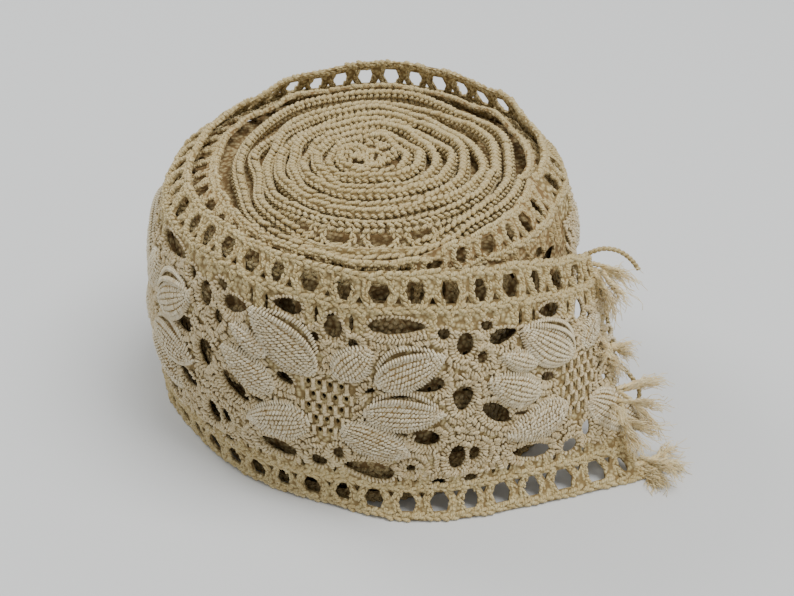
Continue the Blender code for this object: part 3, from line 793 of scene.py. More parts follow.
def chain(path, width=RAIL_WIDTH, thick=1.45, pitch=STITCH_PITCH, depth=0.05):
    """Chain stitch along a flat path: a V of two threads coming out of the V before."""
    spots, heading = resample(path, pitch)
    across = left_of(heading)
    lists = []
    for side in (-1.0, 1.0):
        wander = jitter(0.09, len(spots), 2)
        start, end = (spots + heading * ahead * pitch + across * side * aside * width + wander
                      for ahead, aside, _ in (V_START, V_END))
        lift = jitter(0.08, len(spots))
        lists.append(stitch_list(start, end, depth + V_START[2] * thick + lift,
                                 depth + V_END[2] * thick + lift, V_WIDTH * width,
                                 V_THICK * thick))
    return np.vstack(lists)


def lay(name, stitches, material, **shape):
    """Bend a stitch list round the roll and make its mesh a piece."""
    starts, outs = on_strip(*stitches[:, :3].T)
    ends = on_strip(*stitches[:, 3:6].T)[0]
    width, thick = stitches[:, 6:].T * MM
    return add_piece(name, thread_mesh(name, starts, ends, outs, width, thick, **shape), material)


# %% [markdown]
# Each ladder is two rails with posts between them. A post is two legs that touch at
# the waist and spread at the feet, so the holes between the posts come out round,
# with a tiny three-cornered gap between the feet. Each leg is a short run of chain.
# Shorter posts tie the flowers to the inner rails, and stop where a flower's hole
# begins.

# %% Ladders and rails
LEG_OFFSETS = (1.65, 0.62, 1.2)
POST_ENDS = ((35.2, 40.8), (10.8, 7.1))


def ladder_legs(first, last, near, far):
    """The posts of a ladder along a stretch, as two legs each."""
    lists = []
    outward = 1.0 if far > near else -1.0
    for post in ladder_posts(first + 1.0, last - 0.6):
        for side in (-1.0, 1.0):
            foot, waist, head = (wandered(post) + side * offset for offset in LEG_OFFSETS)
            path = [(foot, near - 0.5 * outward), (waist, 0.5 * (near + far)),
                    (head, far + 0.5 * outward)]
            lists.append(chain(path, width=1.35, thick=1.25, pitch=1.2, depth=0.05 + 0.12 * side))
    return np.vstack(lists)


def wavy(first, last, height):
    """A rail's path, which wanders a little up and down."""
    along = np.arange(first, last, 1.5)
    swell = 0.20 * np.sin(0.83 * along + 3.0 * height) + 0.12 * np.sin(1.9 * along + height)
    return np.stack((along, height + swell), 1)


def edges(first, last, rails, ladders):
    """Rails and ladders of a stretch of the trim, and the chain along its cut end."""
    lists = [chain(wavy(first, last, rail)) for rail in rails]
    lists += [ladder_legs(first, last, near, far) for near, far in ladders]
    if last == TURN_LENGTH:
        lists.append(chain([(last - 0.8, 0.8), (last - 0.8, TRIM_WIDTH - 0.8)], width=1.7))
    return np.vstack(lists)


def fans(first, last, shapes):
    """Posts that tie the flowers to the inner rails, where no flower hole lies."""
    lists = []
    steps = np.linspace(0, 1, 9)[:, None]
    for foot, head in POST_ENDS:
        for post in ladder_posts(first + 1.0, last - 1.8):
            for place in (post, post + 0.5 * LADDER_PITCH):
                shift = 1.1 * math.sin(place * 0.7)
                probe = np.array((place + shift, foot)) * (1 - steps) + np.array((place, head)) * steps
                blocked = inside_any(probe, shapes, 0.35)
                reach = int(np.argmax(blocked[::-1])) if blocked.any() else len(probe)
                if reach > 2:
                    lists.append(chain(probe[[-reach, -1]], width=1.75, thick=1.2, pitch=1.2))
    return np.vstack(lists)


outer_edges = lay("outer_edges", edges(*OUTER, RAILS, LADDERS), crochet_cotton)
outer_fans = lay("outer_fans", fans(*OUTER, OUTER_BELT), crochet_cotton)
# On the turn under it the top edge, where light still reaches, keeps the plain cotton; the foot edge
# and fans take the painted shade.
under_top = lay("under_top_edge", edges(*UNDER, RAILS[2:], LADDERS[1:]), crochet_cotton)
under_foot = lay("under_foot_edge", edges(*UNDER, RAILS[:2], LADDERS[:1]), shaded_cotton,
                 rings=LIGHT_RINGS)
under_fans = lay("under_fans", fans(*UNDER, UNDER_BELT), shaded_cotton, rings=LIGHT_RINGS)

# %% [markdown]
# A leaf of this lace is a padded almond, ribbed lengthwise. Each rib is a cord with
# silky thread wrapped closely over it, nearly two wraps to the millimetre. The
# leaf's own frame gives a place along it and across it. The ribs follow its
# outline, and the whole leaf rises in a low dome. A wrapped cord edges it, and some
# leaves have one more cord arching free beside them like a small ridge.

# %% Leaves
LEAF_HALF, LEAF_BLUNT, LEAF_FULL = 0.46, 0.78, 0.72
LEAF_DOME = 0.68
LEAF_BASE = 0.50
RIB_WIDTH = 1.05
WRAP_PITCH = 0.58
RIM_PITCH = 0.48
RIDGE_AWAY = 1.5
RIDGE_ENDS = (0.12, 0.92)
WRAP_REACH, WRAP_LEAN, WRAP_THICK = 0.86, 0.30, 0.52
RIM_LIFT, RIDGE_LIFT = 0.12, 0.75


def leaf_frame(leaf, flower):
    """Base, lengthwise step, sideways step and heading of a leaf, on the flat trim."""
    base, tip = (np.array((flower + leaf[end + "_along"], FLOWER_MIDDLE + leaf[end + "_up"]))
                 for end in ("base", "tip"))
    heading = (tip - base) / np.linalg.norm(tip - base)
    return base, tip - base, np.array((-heading[1], heading[0])), heading


def leaf_places(leaf, flower, share, aside):
    """Flat places at shares of a leaf's length and distances to its side."""
    base, along, across, _ = leaf_frame(leaf, flower)
    return base + along * share[..., None] + across * aside[..., None]


def leaf_half_width(leaf, share):
    """Half the width inside a leaf's rim at a share of its length, blunt at the base."""
    arch = np.sin(np.pi * np.clip(share, 0.0, 1.0) ** LEAF_BLUNT) ** LEAF_FULL
    return LEAF_HALF * leaf["width"] * arch


def leaf_dome(share, side):
    """How far a leaf rises at a place along and across it."""
    lengthwise = np.clip(1.0 - np.abs(2.0 * share - 1.0) ** 2.6, 0.0, 1.0)
    crosswise = np.clip(1.0 - np.abs(side) ** 2.4, 0.0, 1.0)
    return LEAF_DOME * np.sqrt(lengthwise * crosswise)


def leaf_wraps(leaf, flower, pitch):
    """The fine slanting stitches of one leaf, in lengthwise rows."""
    _, along, _, heading = leaf_frame(leaf, flower)
    length = np.linalg.norm(along)
    ribs = max(int(round(leaf["width"] / RIB_WIDTH)), 2)
    share = np.arange(0.5 * pitch, length, pitch) / length
    reach = WRAP_REACH / ribs
    lists = []
    for middle in -1.0 + (2 * np.arange(ribs) + 1) / ribs:
        place = np.clip(share + jitter(0.10, len(share)) * pitch / length, 0.0, 1.0)
        half = leaf_half_width(leaf, place) * 0.93
        lean = heading * (WRAP_LEAN + jitter(0.06, len(share), 1))
        start = leaf_places(leaf, flower, place, half * (middle - reach)) - lean
        end = leaf_places(leaf, flower, place, half * (middle + reach)) + lean
        rise = LEAF_BASE + 0.10 + jitter(0.05, len(share))
        lists.append(stitch_list(start, end, rise + leaf_dome(place, middle - reach) - 0.06,
                                 rise + leaf_dome(place, middle + reach) + 0.06,
                                 0.98 * pitch, WRAP_THICK))
    return np.vstack(lists)


def leaf_rims(leaf, flower, pitch):
    """Close wraps over the cord that edges one leaf; a ridged side curls up higher."""
    _, along, across, heading = leaf_frame(leaf, flower)
    length = np.linalg.norm(along)
    share = np.arange(0.4 * pitch, length, pitch) / length
    half = leaf_half_width(leaf, share)
    lists = []
    for side in (-1.0, 1.0):
        curl = RIDGE_LIFT if leaf["ridge"] == side else RIM_LIFT
        lift = LEAF_BASE + curl * np.sin(np.pi * share) ** 0.5
        centre = leaf_places(leaf, flower, share, side * half)
        lists.append(stitch_list(centre - across * side * 0.42 - heading * 0.12,
                                 centre + across * side * 0.46 + heading * 0.12,
                                 lift + 0.22, lift - 0.12, 1.02 * pitch, 0.62))
    if leaf["ridge"]:
        bow = (share > RIDGE_ENDS[0]) & (share < RIDGE_ENDS[1])
        away = leaf["ridge"] * (half[bow] + RIDGE_AWAY * np.sin(np.pi * share[bow]))
        centre = leaf_places(leaf, flower, share[bow], away)
        reach = across * leaf["ridge"] * 0.5
        lists.append(stitch_list(centre - reach, centre + reach, LEAF_BASE + 0.35, LEAF_BASE + 0.05,
                                 1.02 * pitch, 0.7))
    return np.vstack(lists)


def leaf_pads(name, leaves):
    """The padded ground of many leaves, closed low domes, as one mesh."""
    share, side = np.meshgrid(np.linspace(0.02, 0.98, 10), np.linspace(-1.0, 1.0, 7),
                              indexing="ij")
    top = (LEAF_BASE + leaf_dome(share, side)).ravel()
    points = []
    faces = []
    for leaf, flower in leaves:
        flat = leaf_places(leaf, flower, share, leaf_half_width(leaf, share) * side)
        faces.append(np.array(shell_faces(*share.shape)) + len(points) * len(top))
        points += [on_strip(*flat.reshape(-1, 2).T, depth)[0]
                   for depth in (top, np.full(len(top), -0.3))]
    return plain_mesh(name, np.concatenate(points), np.concatenate(faces).tolist())


def all_leaves(first, last):
    """Every leaf that lies whole on a stretch, with its flower."""
    return [(leaf, flower) for flower in flowers(first, last) for leaf in rows(LEAF_COLUMNS, LEAVES)
            if first + 1.0 < flower + min(leaf["base_along"], leaf["tip_along"])
            and flower + max(leaf["base_along"], leaf["tip_along"]) < last - 0.2]


def stitched(part, leaves, pitch):
    """The stitches of one part of every leaf."""
    return np.vstack([part(leaf, flower, pitch) for leaf, flower in leaves])


OUTER_LEAVES = all_leaves(*OUTER)
OUTER_LEAVES += [(leaf, TURN_LENGTH - END_PAST_FLOWER) for leaf in rows(LEAF_COLUMNS, LOOSE_LEAVES)]
UNDER_LEAVES = all_leaves(*UNDER)
outer_pads = add_piece("outer_leaf_pads", leaf_pads("outer_leaf_pads", OUTER_LEAVES), leaf_ground)
under_pads = add_piece("under_leaf_pads", leaf_pads("under_leaf_pads", UNDER_LEAVES), deep_ground)
outer_wraps = lay("outer_leaf_threads", stitched(leaf_wraps, OUTER_LEAVES, WRAP_PITCH),
                  silky_cotton, sides=4)
outer_rims = lay("outer_leaf_rims", stitched(leaf_rims, OUTER_LEAVES, RIM_PITCH),
                 silky_cotton, sides=4)
under_wraps = lay("under_leaf_threads", stitched(leaf_wraps, UNDER_LEAVES, 2.2 * WRAP_PITCH),
                  deep_silk, sides=4, rings=LIGHT_RINGS)

# %% [markdown]
# In the middle of each flower is a small fillet of open knitting: upright V stitches
# with a dark pinhole between each pair. The ground round the leaves is made of
# knobbly bars. They are drawn as rings of short silky stitches round every hole,
# which widen until they meet a neighbour's rings, a leaf or the centre. One more
# row of stitches turns over the rim of each hole.

# %% Centre mesh and bars
CENTRE_OUTLINE = ((-4.6, 5.0), (-5.0, 1.0), (-3.4, -4.0), (-1.0, -8.0), (0.6, -8.0),
                  (3.4, -4.0), (5.0, 1.0), (4.6, 5.0))
BAR_FOOT, BAR_HEAD = 9.0, 37.1
FIRST_RING, RING_STEP, RING_COUNT = 0.95, 1.12, 6
BAR_PITCH = 0.56
BAR_LIFT, BAR_LEAN, BAR_WIDTH, BAR_THICK = 0.42, 0.28, 0.62, 0.74
RIDGE_ROOM, LEAF_ROOM = 1.7, 0.25
NEIGHBOUR_REACH = 22.0
HOLE_RIM_PITCH = 0.62


def centre_mesh(flower):
    """Upright stitches between rows of pinholes."""
    lists = []
    for level, holes, shift in CENTRE_ROWS:
        y = FLOWER_MIDDLE + level
        for post in range(holes + 1):
            x = flower + (post - 0.5 * holes) * CENTRE_HOLE_PITCH + shift
            start = np.array([(x + 0.22, y - 1.2), (x - 0.22, y - 1.1)])
            end = np.array([(x - 0.22, y + 1.0), (x + 0.22, y + 1.1)])
            lists.append(stitch_list(start, end, (0.35, 0.48), (0.60, 0.45), 0.60, 0.8))
        y += 0.5 * CENTRE_ROW_PITCH
        for hole in range(holes):
            x = flower + (hole - 0.5 * (holes - 1)) * CENTRE_HOLE_PITCH + shift
            lists.append(stitch_list([(x - 0.6, y - 0.15)], [(x + 0.6, y + 0.2)], 0.42, 0.52, 0.6, 0.7))
    return np.vstack(lists)


def leaf_shape(leaf, flower, grow):
    """A leaf's outline on the flat trim."""
    share = np.linspace(0.0, 1.0, 8)
    half = leaf_half_width(leaf, share) + grow
    return np.concatenate((leaf_places(leaf, flower, share, -half),
                           leaf_places(leaf, flower, share, half)[::-1]))


def ring_round(corners, away):
    """A closed path round a hole, a distance outside its rim."""
    ahead = np.roll(corners, -1, 0) - np.roll(corners, 1, 0)
    ring = corners - away * unit(left_of(ahead))
    return np.concatenate((ring, ring[:1]))


def bar_threads(first, last, shapes, leaves):
    """Bars: rings of short silky stitches round each hole, out to its neighbours'."""
    covers = [leaf_shape(leaf, flower, RIDGE_ROOM if leaf["ridge"] else LEAF_ROOM)
              for leaf, flower in leaves]
    covers += [np.array(CENTRE_OUTLINE) + (flower, FLOWER_MIDDLE) for flower in flowers(first, last)]
    lists = []
    for number, shape in enumerate(shapes):
        nearby = [other for other in shapes[:number] + shapes[number + 1:]
                  if np.linalg.norm(other.mean(0) - shape.mean(0)) < NEIGHBOUR_REACH]
        for ring in range(RING_COUNT):
            away = FIRST_RING + ring * RING_STEP
            spots, heading = resample(ring_round(shape, away), BAR_PITCH)
            keep = (spots[:, 0] > first + 0.3) & (spots[:, 0] < last - 0.2)
            keep &= (spots[:, 1] > BAR_FOOT) & (spots[:, 1] < BAR_HEAD)
            keep &= ~inside_any(spots, nearby, away - 0.3) & ~inside_any(spots, covers)
            spots, heading = spots[keep], heading[keep]
            if len(spots) == 0:
                continue
            step = (heading * (BAR_LEAN if ring % 2 else -BAR_LEAN)
                    - left_of(heading) * 0.50 * RING_STEP)
            spots = spots + jitter(0.07, *spots.shape)
            lump = 0.16 * np.sin(spots[:, 0] * 2.1 + 1.7 * np.sin(spots[:, 1] * 1.3))
            lift = BAR_LIFT + lump + jitter(0.07, len(spots))
            lists.append(stitch_list(spots - step, spots + step, lift - 0.12, lift + 0.12,
                                     BAR_WIDTH, BAR_THICK))
    return np.vstack(lists)


def hole_rims(shapes):
    """Stitches that turn over the rim of each hole of the belt."""
    lists = []
    for shape in shapes:
        spots, heading = resample(np.vstack((shape, shape[:1])), HOLE_RIM_PITCH)
        outwards = -left_of(heading)
        swing = heading * RANDOM.choice((-0.2, 0.2), len(spots))[:, None]
        lift = 0.5 + jitter(0.08, len(spots))
        lists.append(stitch_list(spots + outwards * 0.55 - swing, spots - outwards * 0.10 + swing,
                                 lift, lift - 0.55, 0.56, 0.66))
    return np.vstack(lists)


outer_bars = lay("outer_bars", bar_threads(*OUTER, OUTER_BELT, OUTER_LEAVES), bar_cotton,
                 sides=5, rings=LIGHT_RINGS)
outer_rim_stitches = lay("outer_hole_rims", hole_rims(OUTER_BELT), bar_cotton,
                         sides=5, rings=LIGHT_RINGS)
outer_centres = lay("outer_flower_centres", np.vstack(
    [centre_mesh(flower) for flower in flowers(*OUTER) if 6.0 < flower < TURN_LENGTH - 6.0]),
    bar_cotton)

# %% [markdown]
# The inner turns are wound tight. From above only their top rails show, as ropes
# that spiral into the eye, with a dark groove beside each one. Where a turn leans
# away from its neighbour, its ladder shows below the rope. The wall below each
# rope is a spiral sheet, and the heart is a crumple of stitches round a few holes.

# %% Inner turns
SPIRAL_FIRST, LOW_WALL_LAST, SPIRAL_LAST = 2, 4.6, 10.4
WALL_TOP, WALL_FOOT = 0.7, 11.7
LOW_WALL_TOP, LOW_WALL_FOOT = 6.4, 17.4
WALL_THICKNESS = 0.9
ROPE_PITCH = 1.16
ROPE_WIDTH = 1.5
FRONT, SINK_FROM_FRONT, SINK = 268.0, 38.0, 1.5
FLAT_LADDER = 0.75
LEAN_FROM, LEAN_MOST, LEAN_DROP = 1.6, 5.2, 2.6
KINK = 0.9
EYE_HOLES = ((-1.2, -2.5, 1.5), (0.0, 3.6, 1.4), (2.9, 2.0, 1.2), (4.4, -1.6, 1.3),
             (-4.2, -1.5, 1.2), (-2.6, 1.6, 0.9), (1.6, -0.6, 0.8))


def crest(place):
    """Radius, height, nearness to the eye and angle of the rail, at turns inwards."""
    place = np.atleast_1d(np.asarray(place, float))
    turn = np.floor(place).astype(int)
    turned = TURN_END - (place - turn) * 360.0
    radius = np.empty_like(place)
    share = np.empty_like(place)
    for one in np.unique(turn):
        mine = turn == one
        radius[mine], share[mine] = inner_edge_radius(one, turned[mine])
    packed = turn >= len(INNER_COLUMNS) - 1
    level = np.where(packed, PACKED_TOP + EYE_RISE * (1.0 - share ** 2),
                     INNER_TOP + 0.25 * (turn - 1))
    return radius, level, np.where(packed, 1.0 - share, 0.0), np.radians(turned)


def wall_point(place, drop, depth):
    """Places on the spiral wall, a drop below its top edge, in metres."""
    place = np.atleast_1d(np.asarray(place, float))
    drop = np.broadcast_to(np.asarray(drop, float), place.shape)
    radius, level, inward, angle = crest(place)
    from_front = np.abs(TURN_END - (place - np.floor(place)) * 360.0 - FRONT)
    front = np.clip(1.0 - (from_front / SINK_FROM_FRONT) ** 3, 0.0, 1.0)
    flat = front * ((place > 4.0) & (place < 5.0))
    lean = np.clip(crest(place - 1.0)[0] - radius, LEAN_FROM, LEAN_MOST) - LEAN_FROM
    swell = (0.30 * np.sin(place * 18.9) + 0.22 * np.sin(place * 29.0 + 1.0)
             + 0.16 * np.sin(place * 67.0))
    lift = 0.35 * np.sin(place * 9.7 + 1.0) + 0.25 * np.sin(place * 31.0)
    kinks = KINK * np.sin(place * 44.0) * np.sin(place * 5.0) ** 2 * (1.0 - front)
    reach = radius + np.where(place > 4, swell, kinks) + lean * (1.0 - np.exp(-drop / LEAN_DROP))
    reach = reach + flat * np.minimum(drop, 6.6) * 0.62 + depth
    z = level + lift * (place > 3) - drop * (1.0 - FLAT_LADDER * flat) + depth * FLAT_LADDER * flat
    z = z - SINK * front * (place < 4.0)
    return np.stack((EYE_X * inward + reach * np.cos(angle),
                     EYE_Y * inward + reach * np.sin(angle), z), 1) * MM


SPIRAL_PLACES = np.linspace(SPIRAL_FIRST, SPIRAL_LAST, 2400)
SPIRAL_WALK = walked(wall_point(SPIRAL_PLACES, 0.0, 0.0) / MM)
print("spiral rail %.0f mm" % SPIRAL_WALK[-1])


def lay_on_wall(name, stitches, **shape):
    """Bend stitches (walked length, drop, depth) onto the spiral wall, as a piece."""
    here, there = (np.interp(stitches[:, k], SPIRAL_WALK, SPIRAL_PLACES) for k in (0, 3))
    starts = wall_point(here, stitches[:, 1], stitches[:, 2])
    ends = wall_point(there, stitches[:, 4], stitches[:, 5])
    angle = crest(0.5 * (here + there))[3]
    outs = around(1.0, angle, 0.9)
    width, thick = stitches[:, 6:].T * MM
    return add_piece(name, thread_mesh(name, starts, ends, outs, width, thick, **shape),
                     crochet_cotton)


def spiral_rope():
    """The top rail of every inner turn: one slanting thread to each pitch."""
    at = np.arange(0.5 * ROPE_PITCH, SPIRAL_WALK[-1], ROPE_PITCH)
    at = at + jitter(0.08, len(at))
    reach = 0.62 * ROPE_PITCH
    half = 0.36 * ROPE_WIDTH
    drop = 0.60 + jitter(0.10, len(at))
    return stitch_list(np.stack((at - reach, drop), 1), np.stack((at + reach, drop), 1),
                       -half, half, 0.74 * ROPE_PITCH, 1.1)


def spiral_faces():
    """Two rows of slanting stitches under the rope, on both faces of each turn."""
    at = np.arange(0.5 * ROPE_PITCH, SPIRAL_WALK[-1], ROPE_PITCH)
    lists = []
    for side in (-1.0, 1.0):
        for drop, lean, out in ((1.25, 0.5, 0.72), (2.3, -0.5, 0.62)):
            place = at + jitter(0.09, len(at))
            low, high = (np.stack((place + end * lean, np.full(len(at), drop - 0.36 * end)), 1)
                         for end in (-1, 1))
            lists.append(stitch_list(low, high, out * side, (out - 0.1) * side, 0.84, 0.9))
    return np.vstack(lists)


def inner_ladders():
    """Crossed bars and lower rails of the turns that lean apart."""
    until = np.interp(5.0, SPIRAL_PLACES, SPIRAL_WALK)
    lists = []
    for post in np.arange(2.0, until, LADDER_PITCH):
        for side in (-1.0, 1.0):
            foot, waist, head = (post + side * offset for offset in LEG_OFFSETS)
            path = [(head, 1.4), (waist, 3.9), (foot, 6.3)]
            lists.append(chain(path, width=1.4, thick=1.2, pitch=1.2, depth=0.1 + 0.1 * side))
    lists.append(chain([(1.0, 6.8), (until, 6.8)]))
    return np.vstack(lists)


def eye_patch(name):
    """The crumpled heart of the winding: short stitches round a few dark holes."""
    grid = np.arange(-5.6, 5.7, 0.72)
    x, y = np.meshgrid(grid, grid, indexing="ij")
    spots = np.stack((x.ravel(), y.ravel()), 1) + jitter(0.12, x.size, 2)
    holes = np.array(EYE_HOLES)
    away = spots[:, None] - holes[None, :, :2]
    distance = np.linalg.norm(away, axis=2) - 0.5 * holes[:, 2]
    keep = (distance.min(1) > 0.3) & (np.linalg.norm(spots, axis=1) < 5.2)
    spots, away, distance = spots[keep], away[keep], distance[keep]
    radial = unit(away[np.arange(len(spots)), distance.argmin(1)])
    swing = np.radians(90.0 + RANDOM.choice((-35.0, 35.0), len(spots)))
    turned = np.stack((radial[:, 0] * np.cos(swing) - radial[:, 1] * np.sin(swing),
                       radial[:, 0] * np.sin(swing) + radial[:, 1] * np.cos(swing)), 1)
    height = (crest(SPIRAL_LAST)[1][0] - 0.55
              + 0.45 * np.sin(spots[:, 0] * 1.5) * np.cos(spots[:, 1] * 1.2)
              - 0.5 * np.exp(-((distance.min(1) - 0.3) / 0.5) ** 2))
    middle = np.column_stack((EYE_X + spots[:, 0], EYE_Y + spots[:, 1], height))
    step = np.column_stack((turned * 0.62, jitter(0.12, len(spots))))
    outs = np.tile((0.0, 0.0, 1.0), (len(spots), 1))
    width, thick = (np.full(len(spots), size * MM) for size in (0.72, 1.0))
    mesh = thread_mesh(name, (middle - step) * MM, (middle + step) * MM, outs, width, thick)
    return add_piece(name, mesh, crochet_cotton)


def spiral_wall(name, first, last, top_drop, foot_drop):
    """A thin upright sheet that follows the spiral, between two drops."""
    places = np.linspace(first, last, int((last - first) * 80))
    drops = np.linspace(top_drop, foot_drop, 4)
    points = [np.stack([wall_point(places, drop, side * WALL_THICKNESS) for drop in drops],
                       1).reshape(-1, 3) for side in (-0.5, 0.5)]
    mesh = plain_mesh(name, np.concatenate(points), shell_faces(len(places), len(drops)))
    # The wall takes the close crochet, with its painted shade.
    return add_piece(name, mesh, close_ground)


rope = lay_on_wall("spiral_rope", spiral_rope())
rope_faces = lay_on_wall("spiral_faces", spiral_faces(), rings=LIGHT_RINGS, sides=5)
ladders = lay_on_wall("inner_ladders", inner_ladders(), rings=LIGHT_RINGS)
eye = eye_patch("eye_stitches")
wall = spiral_wall("spiral_wall", LOW_WALL_LAST, SPIRAL_LAST, WALL_TOP, WALL_FOOT)
low_wall = spiral_wall("spiral_low_wall", SPIRAL_FIRST, LOW_WALL_LAST, LOW_WALL_TOP, LOW_WALL_FOOT)

# %% [markdown]
# Below the walls the inner turns are one bulk, painted dark as shade, seen only
# through the holes. A lofted body closes it: a side just inside turn one and a
# dished top under the ropes.

# %% The bulk of the inner turns
BULK_HEIGHTS = (0.0, 3.0, 8.0, 15.0, 22.0, 30.0, 36.0, 41.0)
BULK_TOP = ((0.86, 43.5), (0.6, 45.0), (0.3, 46.4), (0.1, 46.9))
BULK_INSET = 1.6


def bulk_mesh(name):
    """A closed body of rings from the floor up and over the top."""
    degrees = np.arange(0.0, 360.0, 5.0)
    angles = np.radians(degrees)
    index = ((degrees - 360.0) - STRIP_DEGREES[0]).astype(int)
    index = np.where(index < 0, index + 360, index)
    rings = []
    for height in BULK_HEIGHTS:
        base = STRIP_POINTS[index, int(height / HEIGHT_STEP)]
        radius = np.linalg.norm(base[:, :2], axis=1) - BULK_INSET
        rings.append(around(radius, angles, base[:, 2]))
    for share, level in BULK_TOP:
        rings.append(around(share * radius, angles, level))
    return plain_mesh(name, np.concatenate(rings) * MM, loft_faces(len(rings), len(angles)))


bulk = add_piece("inner_bulk", bulk_mesh("inner_bulk"), deep_ground, "wound_core")

# %% [markdown]
# The cut end frays. Ends of the rails run on past the cut, untwist, and fluff into
# tufts. Each tuft is a few locks from one root, and each lock is a bundle of fine
# curling fibres. The one at the foot spreads low over the table.

# %% Frayed ends
TUFT_COLUMNS = ("node", "height", "past", "knot", "locks", "length", "heading", "fan", "fall",
                "fall_spread", "seed")
TUFTS = (
    ("fray_top", 45.0, 3.0, 1.9, 8, 6.0, -24, 105, 42, 30, 3),
    ("fray_middle", 25.0, 2.6, 1.5, 5, 3.6, -30, 100, 35, 30, 4),
    ("fray_lower", 14.5, 3.3, 2.4, 9, 7.4, -24, 130, 14, 34, 5),
    ("fray_bottom", 2.8, 3.2, 1.8, 8, 4.6, -20, 120, 4, 6, 6),
)
FIBRE_WIDTH = 0.2
FIBRE_STEPS = 11
FIBRE_SIDES = 3
LOCK_FIBRES = 58
YARN_RADIUS = 0.5
YARN_TWIST = 2.0
FLUFF_FROM = 0.2
FLUFF_REACH = 1.4
CURL_RADIUS = 0.65
FLOOR_REST = 0.1


def tube_mesh(name, paths):
    """One mesh of thin tapering tubes, each along its own path of equally many points."""
    count, steps = paths.shape[:2]
    ahead = unit(np.gradient(paths, axis=1))
    side = unit(np.cross(ahead, (0.31, 0.22, 0.92)))
    up = np.cross(side, ahead)
    girth = 0.5 * FIBRE_WIDTH * (1.0 - 0.5 * np.linspace(0.0, 1.0, steps))[None, :, None]
    rings = [paths + girth * (math.cos(angle) * side + math.sin(angle) * up)
             for angle in 2 * math.pi * np.arange(FIBRE_SIDES) / FIBRE_SIDES]
    faces = []
    for first in range(0, count * steps * FIBRE_SIDES, steps * FIBRE_SIDES):
        faces += loft_faces(steps, FIBRE_SIDES, first)
    return plain_mesh(name, np.stack(rings, 2).reshape(-1, 3) * MM, faces)


def lock_fibres(draw, root, aim, length):
    """Fibres of one lock: a twisted yarn that opens into fluff."""
    share = np.linspace(0.0, 1.0, FIBRE_STEPS + 1)
    side = unit(np.cross(aim, (0.1, 0.2, 0.97)))
    up = np.cross(side, aim)
    bend = draw.normal(0.0, 0.22, 2)
    sway = np.sin(share * draw.uniform(2.0, 4.0) + draw.uniform(0.0, 6.0)) * 0.6
    spine = (root + aim * (share * length)[:, None]
             + side * (bend[0] * length * share ** 2 + sway * share)[:, None]
             + up * ((0.16 + bend[1]) * length * share * (1.0 - share))[:, None])
    opened = np.clip((share - FLUFF_FROM) / (1.0 - FLUFF_FROM), 0.0, 1.0)[:, None] ** 1.3
    paths = []
    for _ in range(LOCK_FIBRES):
        angle = draw.uniform(0.0, 2 * math.pi) + YARN_TWIST * share * length
        spot = YARN_RADIUS * math.sqrt(draw.uniform())
        loose = draw.normal(0.0, FLUFF_REACH * 0.6, 3)
        swing = share * draw.uniform(4.0, 11.0) + draw.uniform(0.0, 6.0)
        curl = (side * np.cos(swing)[:, None] + up * np.sin(swing)[:, None]
                + aim * 0.6 * np.cos(1.3 * swing)[:, None]) * CURL_RADIUS * draw.uniform(0.5, 1.5)
        path = (spine + side * (spot * np.cos(angle))[:, None] + up * (spot * np.sin(angle))[:, None]
                + (loose + curl) * opened)
        paths.append(along_path(share * draw.uniform(0.55, 1.0), share, path))
    return paths


def tuft_fibres(tuft):
    """Every fibre of a tuft, lock by lock, none under the floor."""
    draw = np.random.default_rng(tuft["seed"])
    spot = np.array([TURN_LENGTH - 1.0, TURN_LENGTH])
    before, edge = on_strip(spot, np.full(2, tuft["height"]), np.zeros(2))[0] / MM
    out = unit((edge - before) * (1.0, 1.0, 0.0))
    middle = edge + out * tuft["past"]
    middle[2] = max(middle[2], tuft["knot"])
    paths = []
    for index in range(tuft["locks"]):
        part = index / (tuft["locks"] - 1) - 0.5
        fall = math.radians(tuft["fall"] + tuft["fall_spread"] * (index % 3 - 1))
        turn = math.radians(tuft["heading"] + tuft["fan"] * part)
        aim = np.array((math.cos(fall) * math.cos(turn), math.cos(fall) * math.sin(turn),
                        -math.sin(fall)))
        length = tuft["length"] * (1.0 - 0.25 * abs(part) + 0.15 * (index % 2))
        root = middle - out * (tuft["past"] + 0.6) + draw.normal(0.0, 0.9, 3)
        paths += lock_fibres(draw, root, aim, length + tuft["past"])
    paths = np.array(paths)
    paths[..., 2] = np.maximum(paths[..., 2], FLOOR_REST)
    return paths


for tuft in rows(TUFT_COLUMNS, TUFTS):
    fibres_name = tuft["node"] + "_fibres"
    add_piece(fibres_name, tube_mesh(fibres_name, tuft_fibres(tuft)), frayed_cotton, tuft["node"])

# %% [markdown]
# Between the tufts a few cords run on past the cut: one bends over from the top
# rail, two hang lower down, and one lies on the table. Small silky rings stand out
# from the edge. A cord is two threads that wind round each other.

# %% Loose cords and rings of the cut end
CORDS = (
    ((38.4, -11.0, 34.0), (40.6, -11.2, 35.0), (43.2, -11.6, 34.9), (45.6, -12.0, 33.4),
     (47.2, -12.4, 31.4)),
    ((41.8, -12.8, 24.4), (42.6, -13.4, 21.0), (43.4, -14.0, 17.6), (43.2, -15.0, 15.2)),
    ((44.6, -17.6, 15.0), (46.6, -18.6, 13.2), (48.2, -19.4, 10.6), (48.0, -20.4, 8.4)),
    ((49.6, -29.6, 1.6), (51.6, -28.6, 1.4), (53.6, -28.6, 1.1), (55.4, -29.6, 0.9)),
)
CORD_PITCH = 0.85
CORD_WIDTH = 0.62
RINGS = ((1.4, 27.2, 1.5), (1.6, 23.8, 1.6), (1.2, 20.6, 1.3))
RING_PITCH = 0.62
RING_WIDTH = 0.95
RING_THICK = 0.9


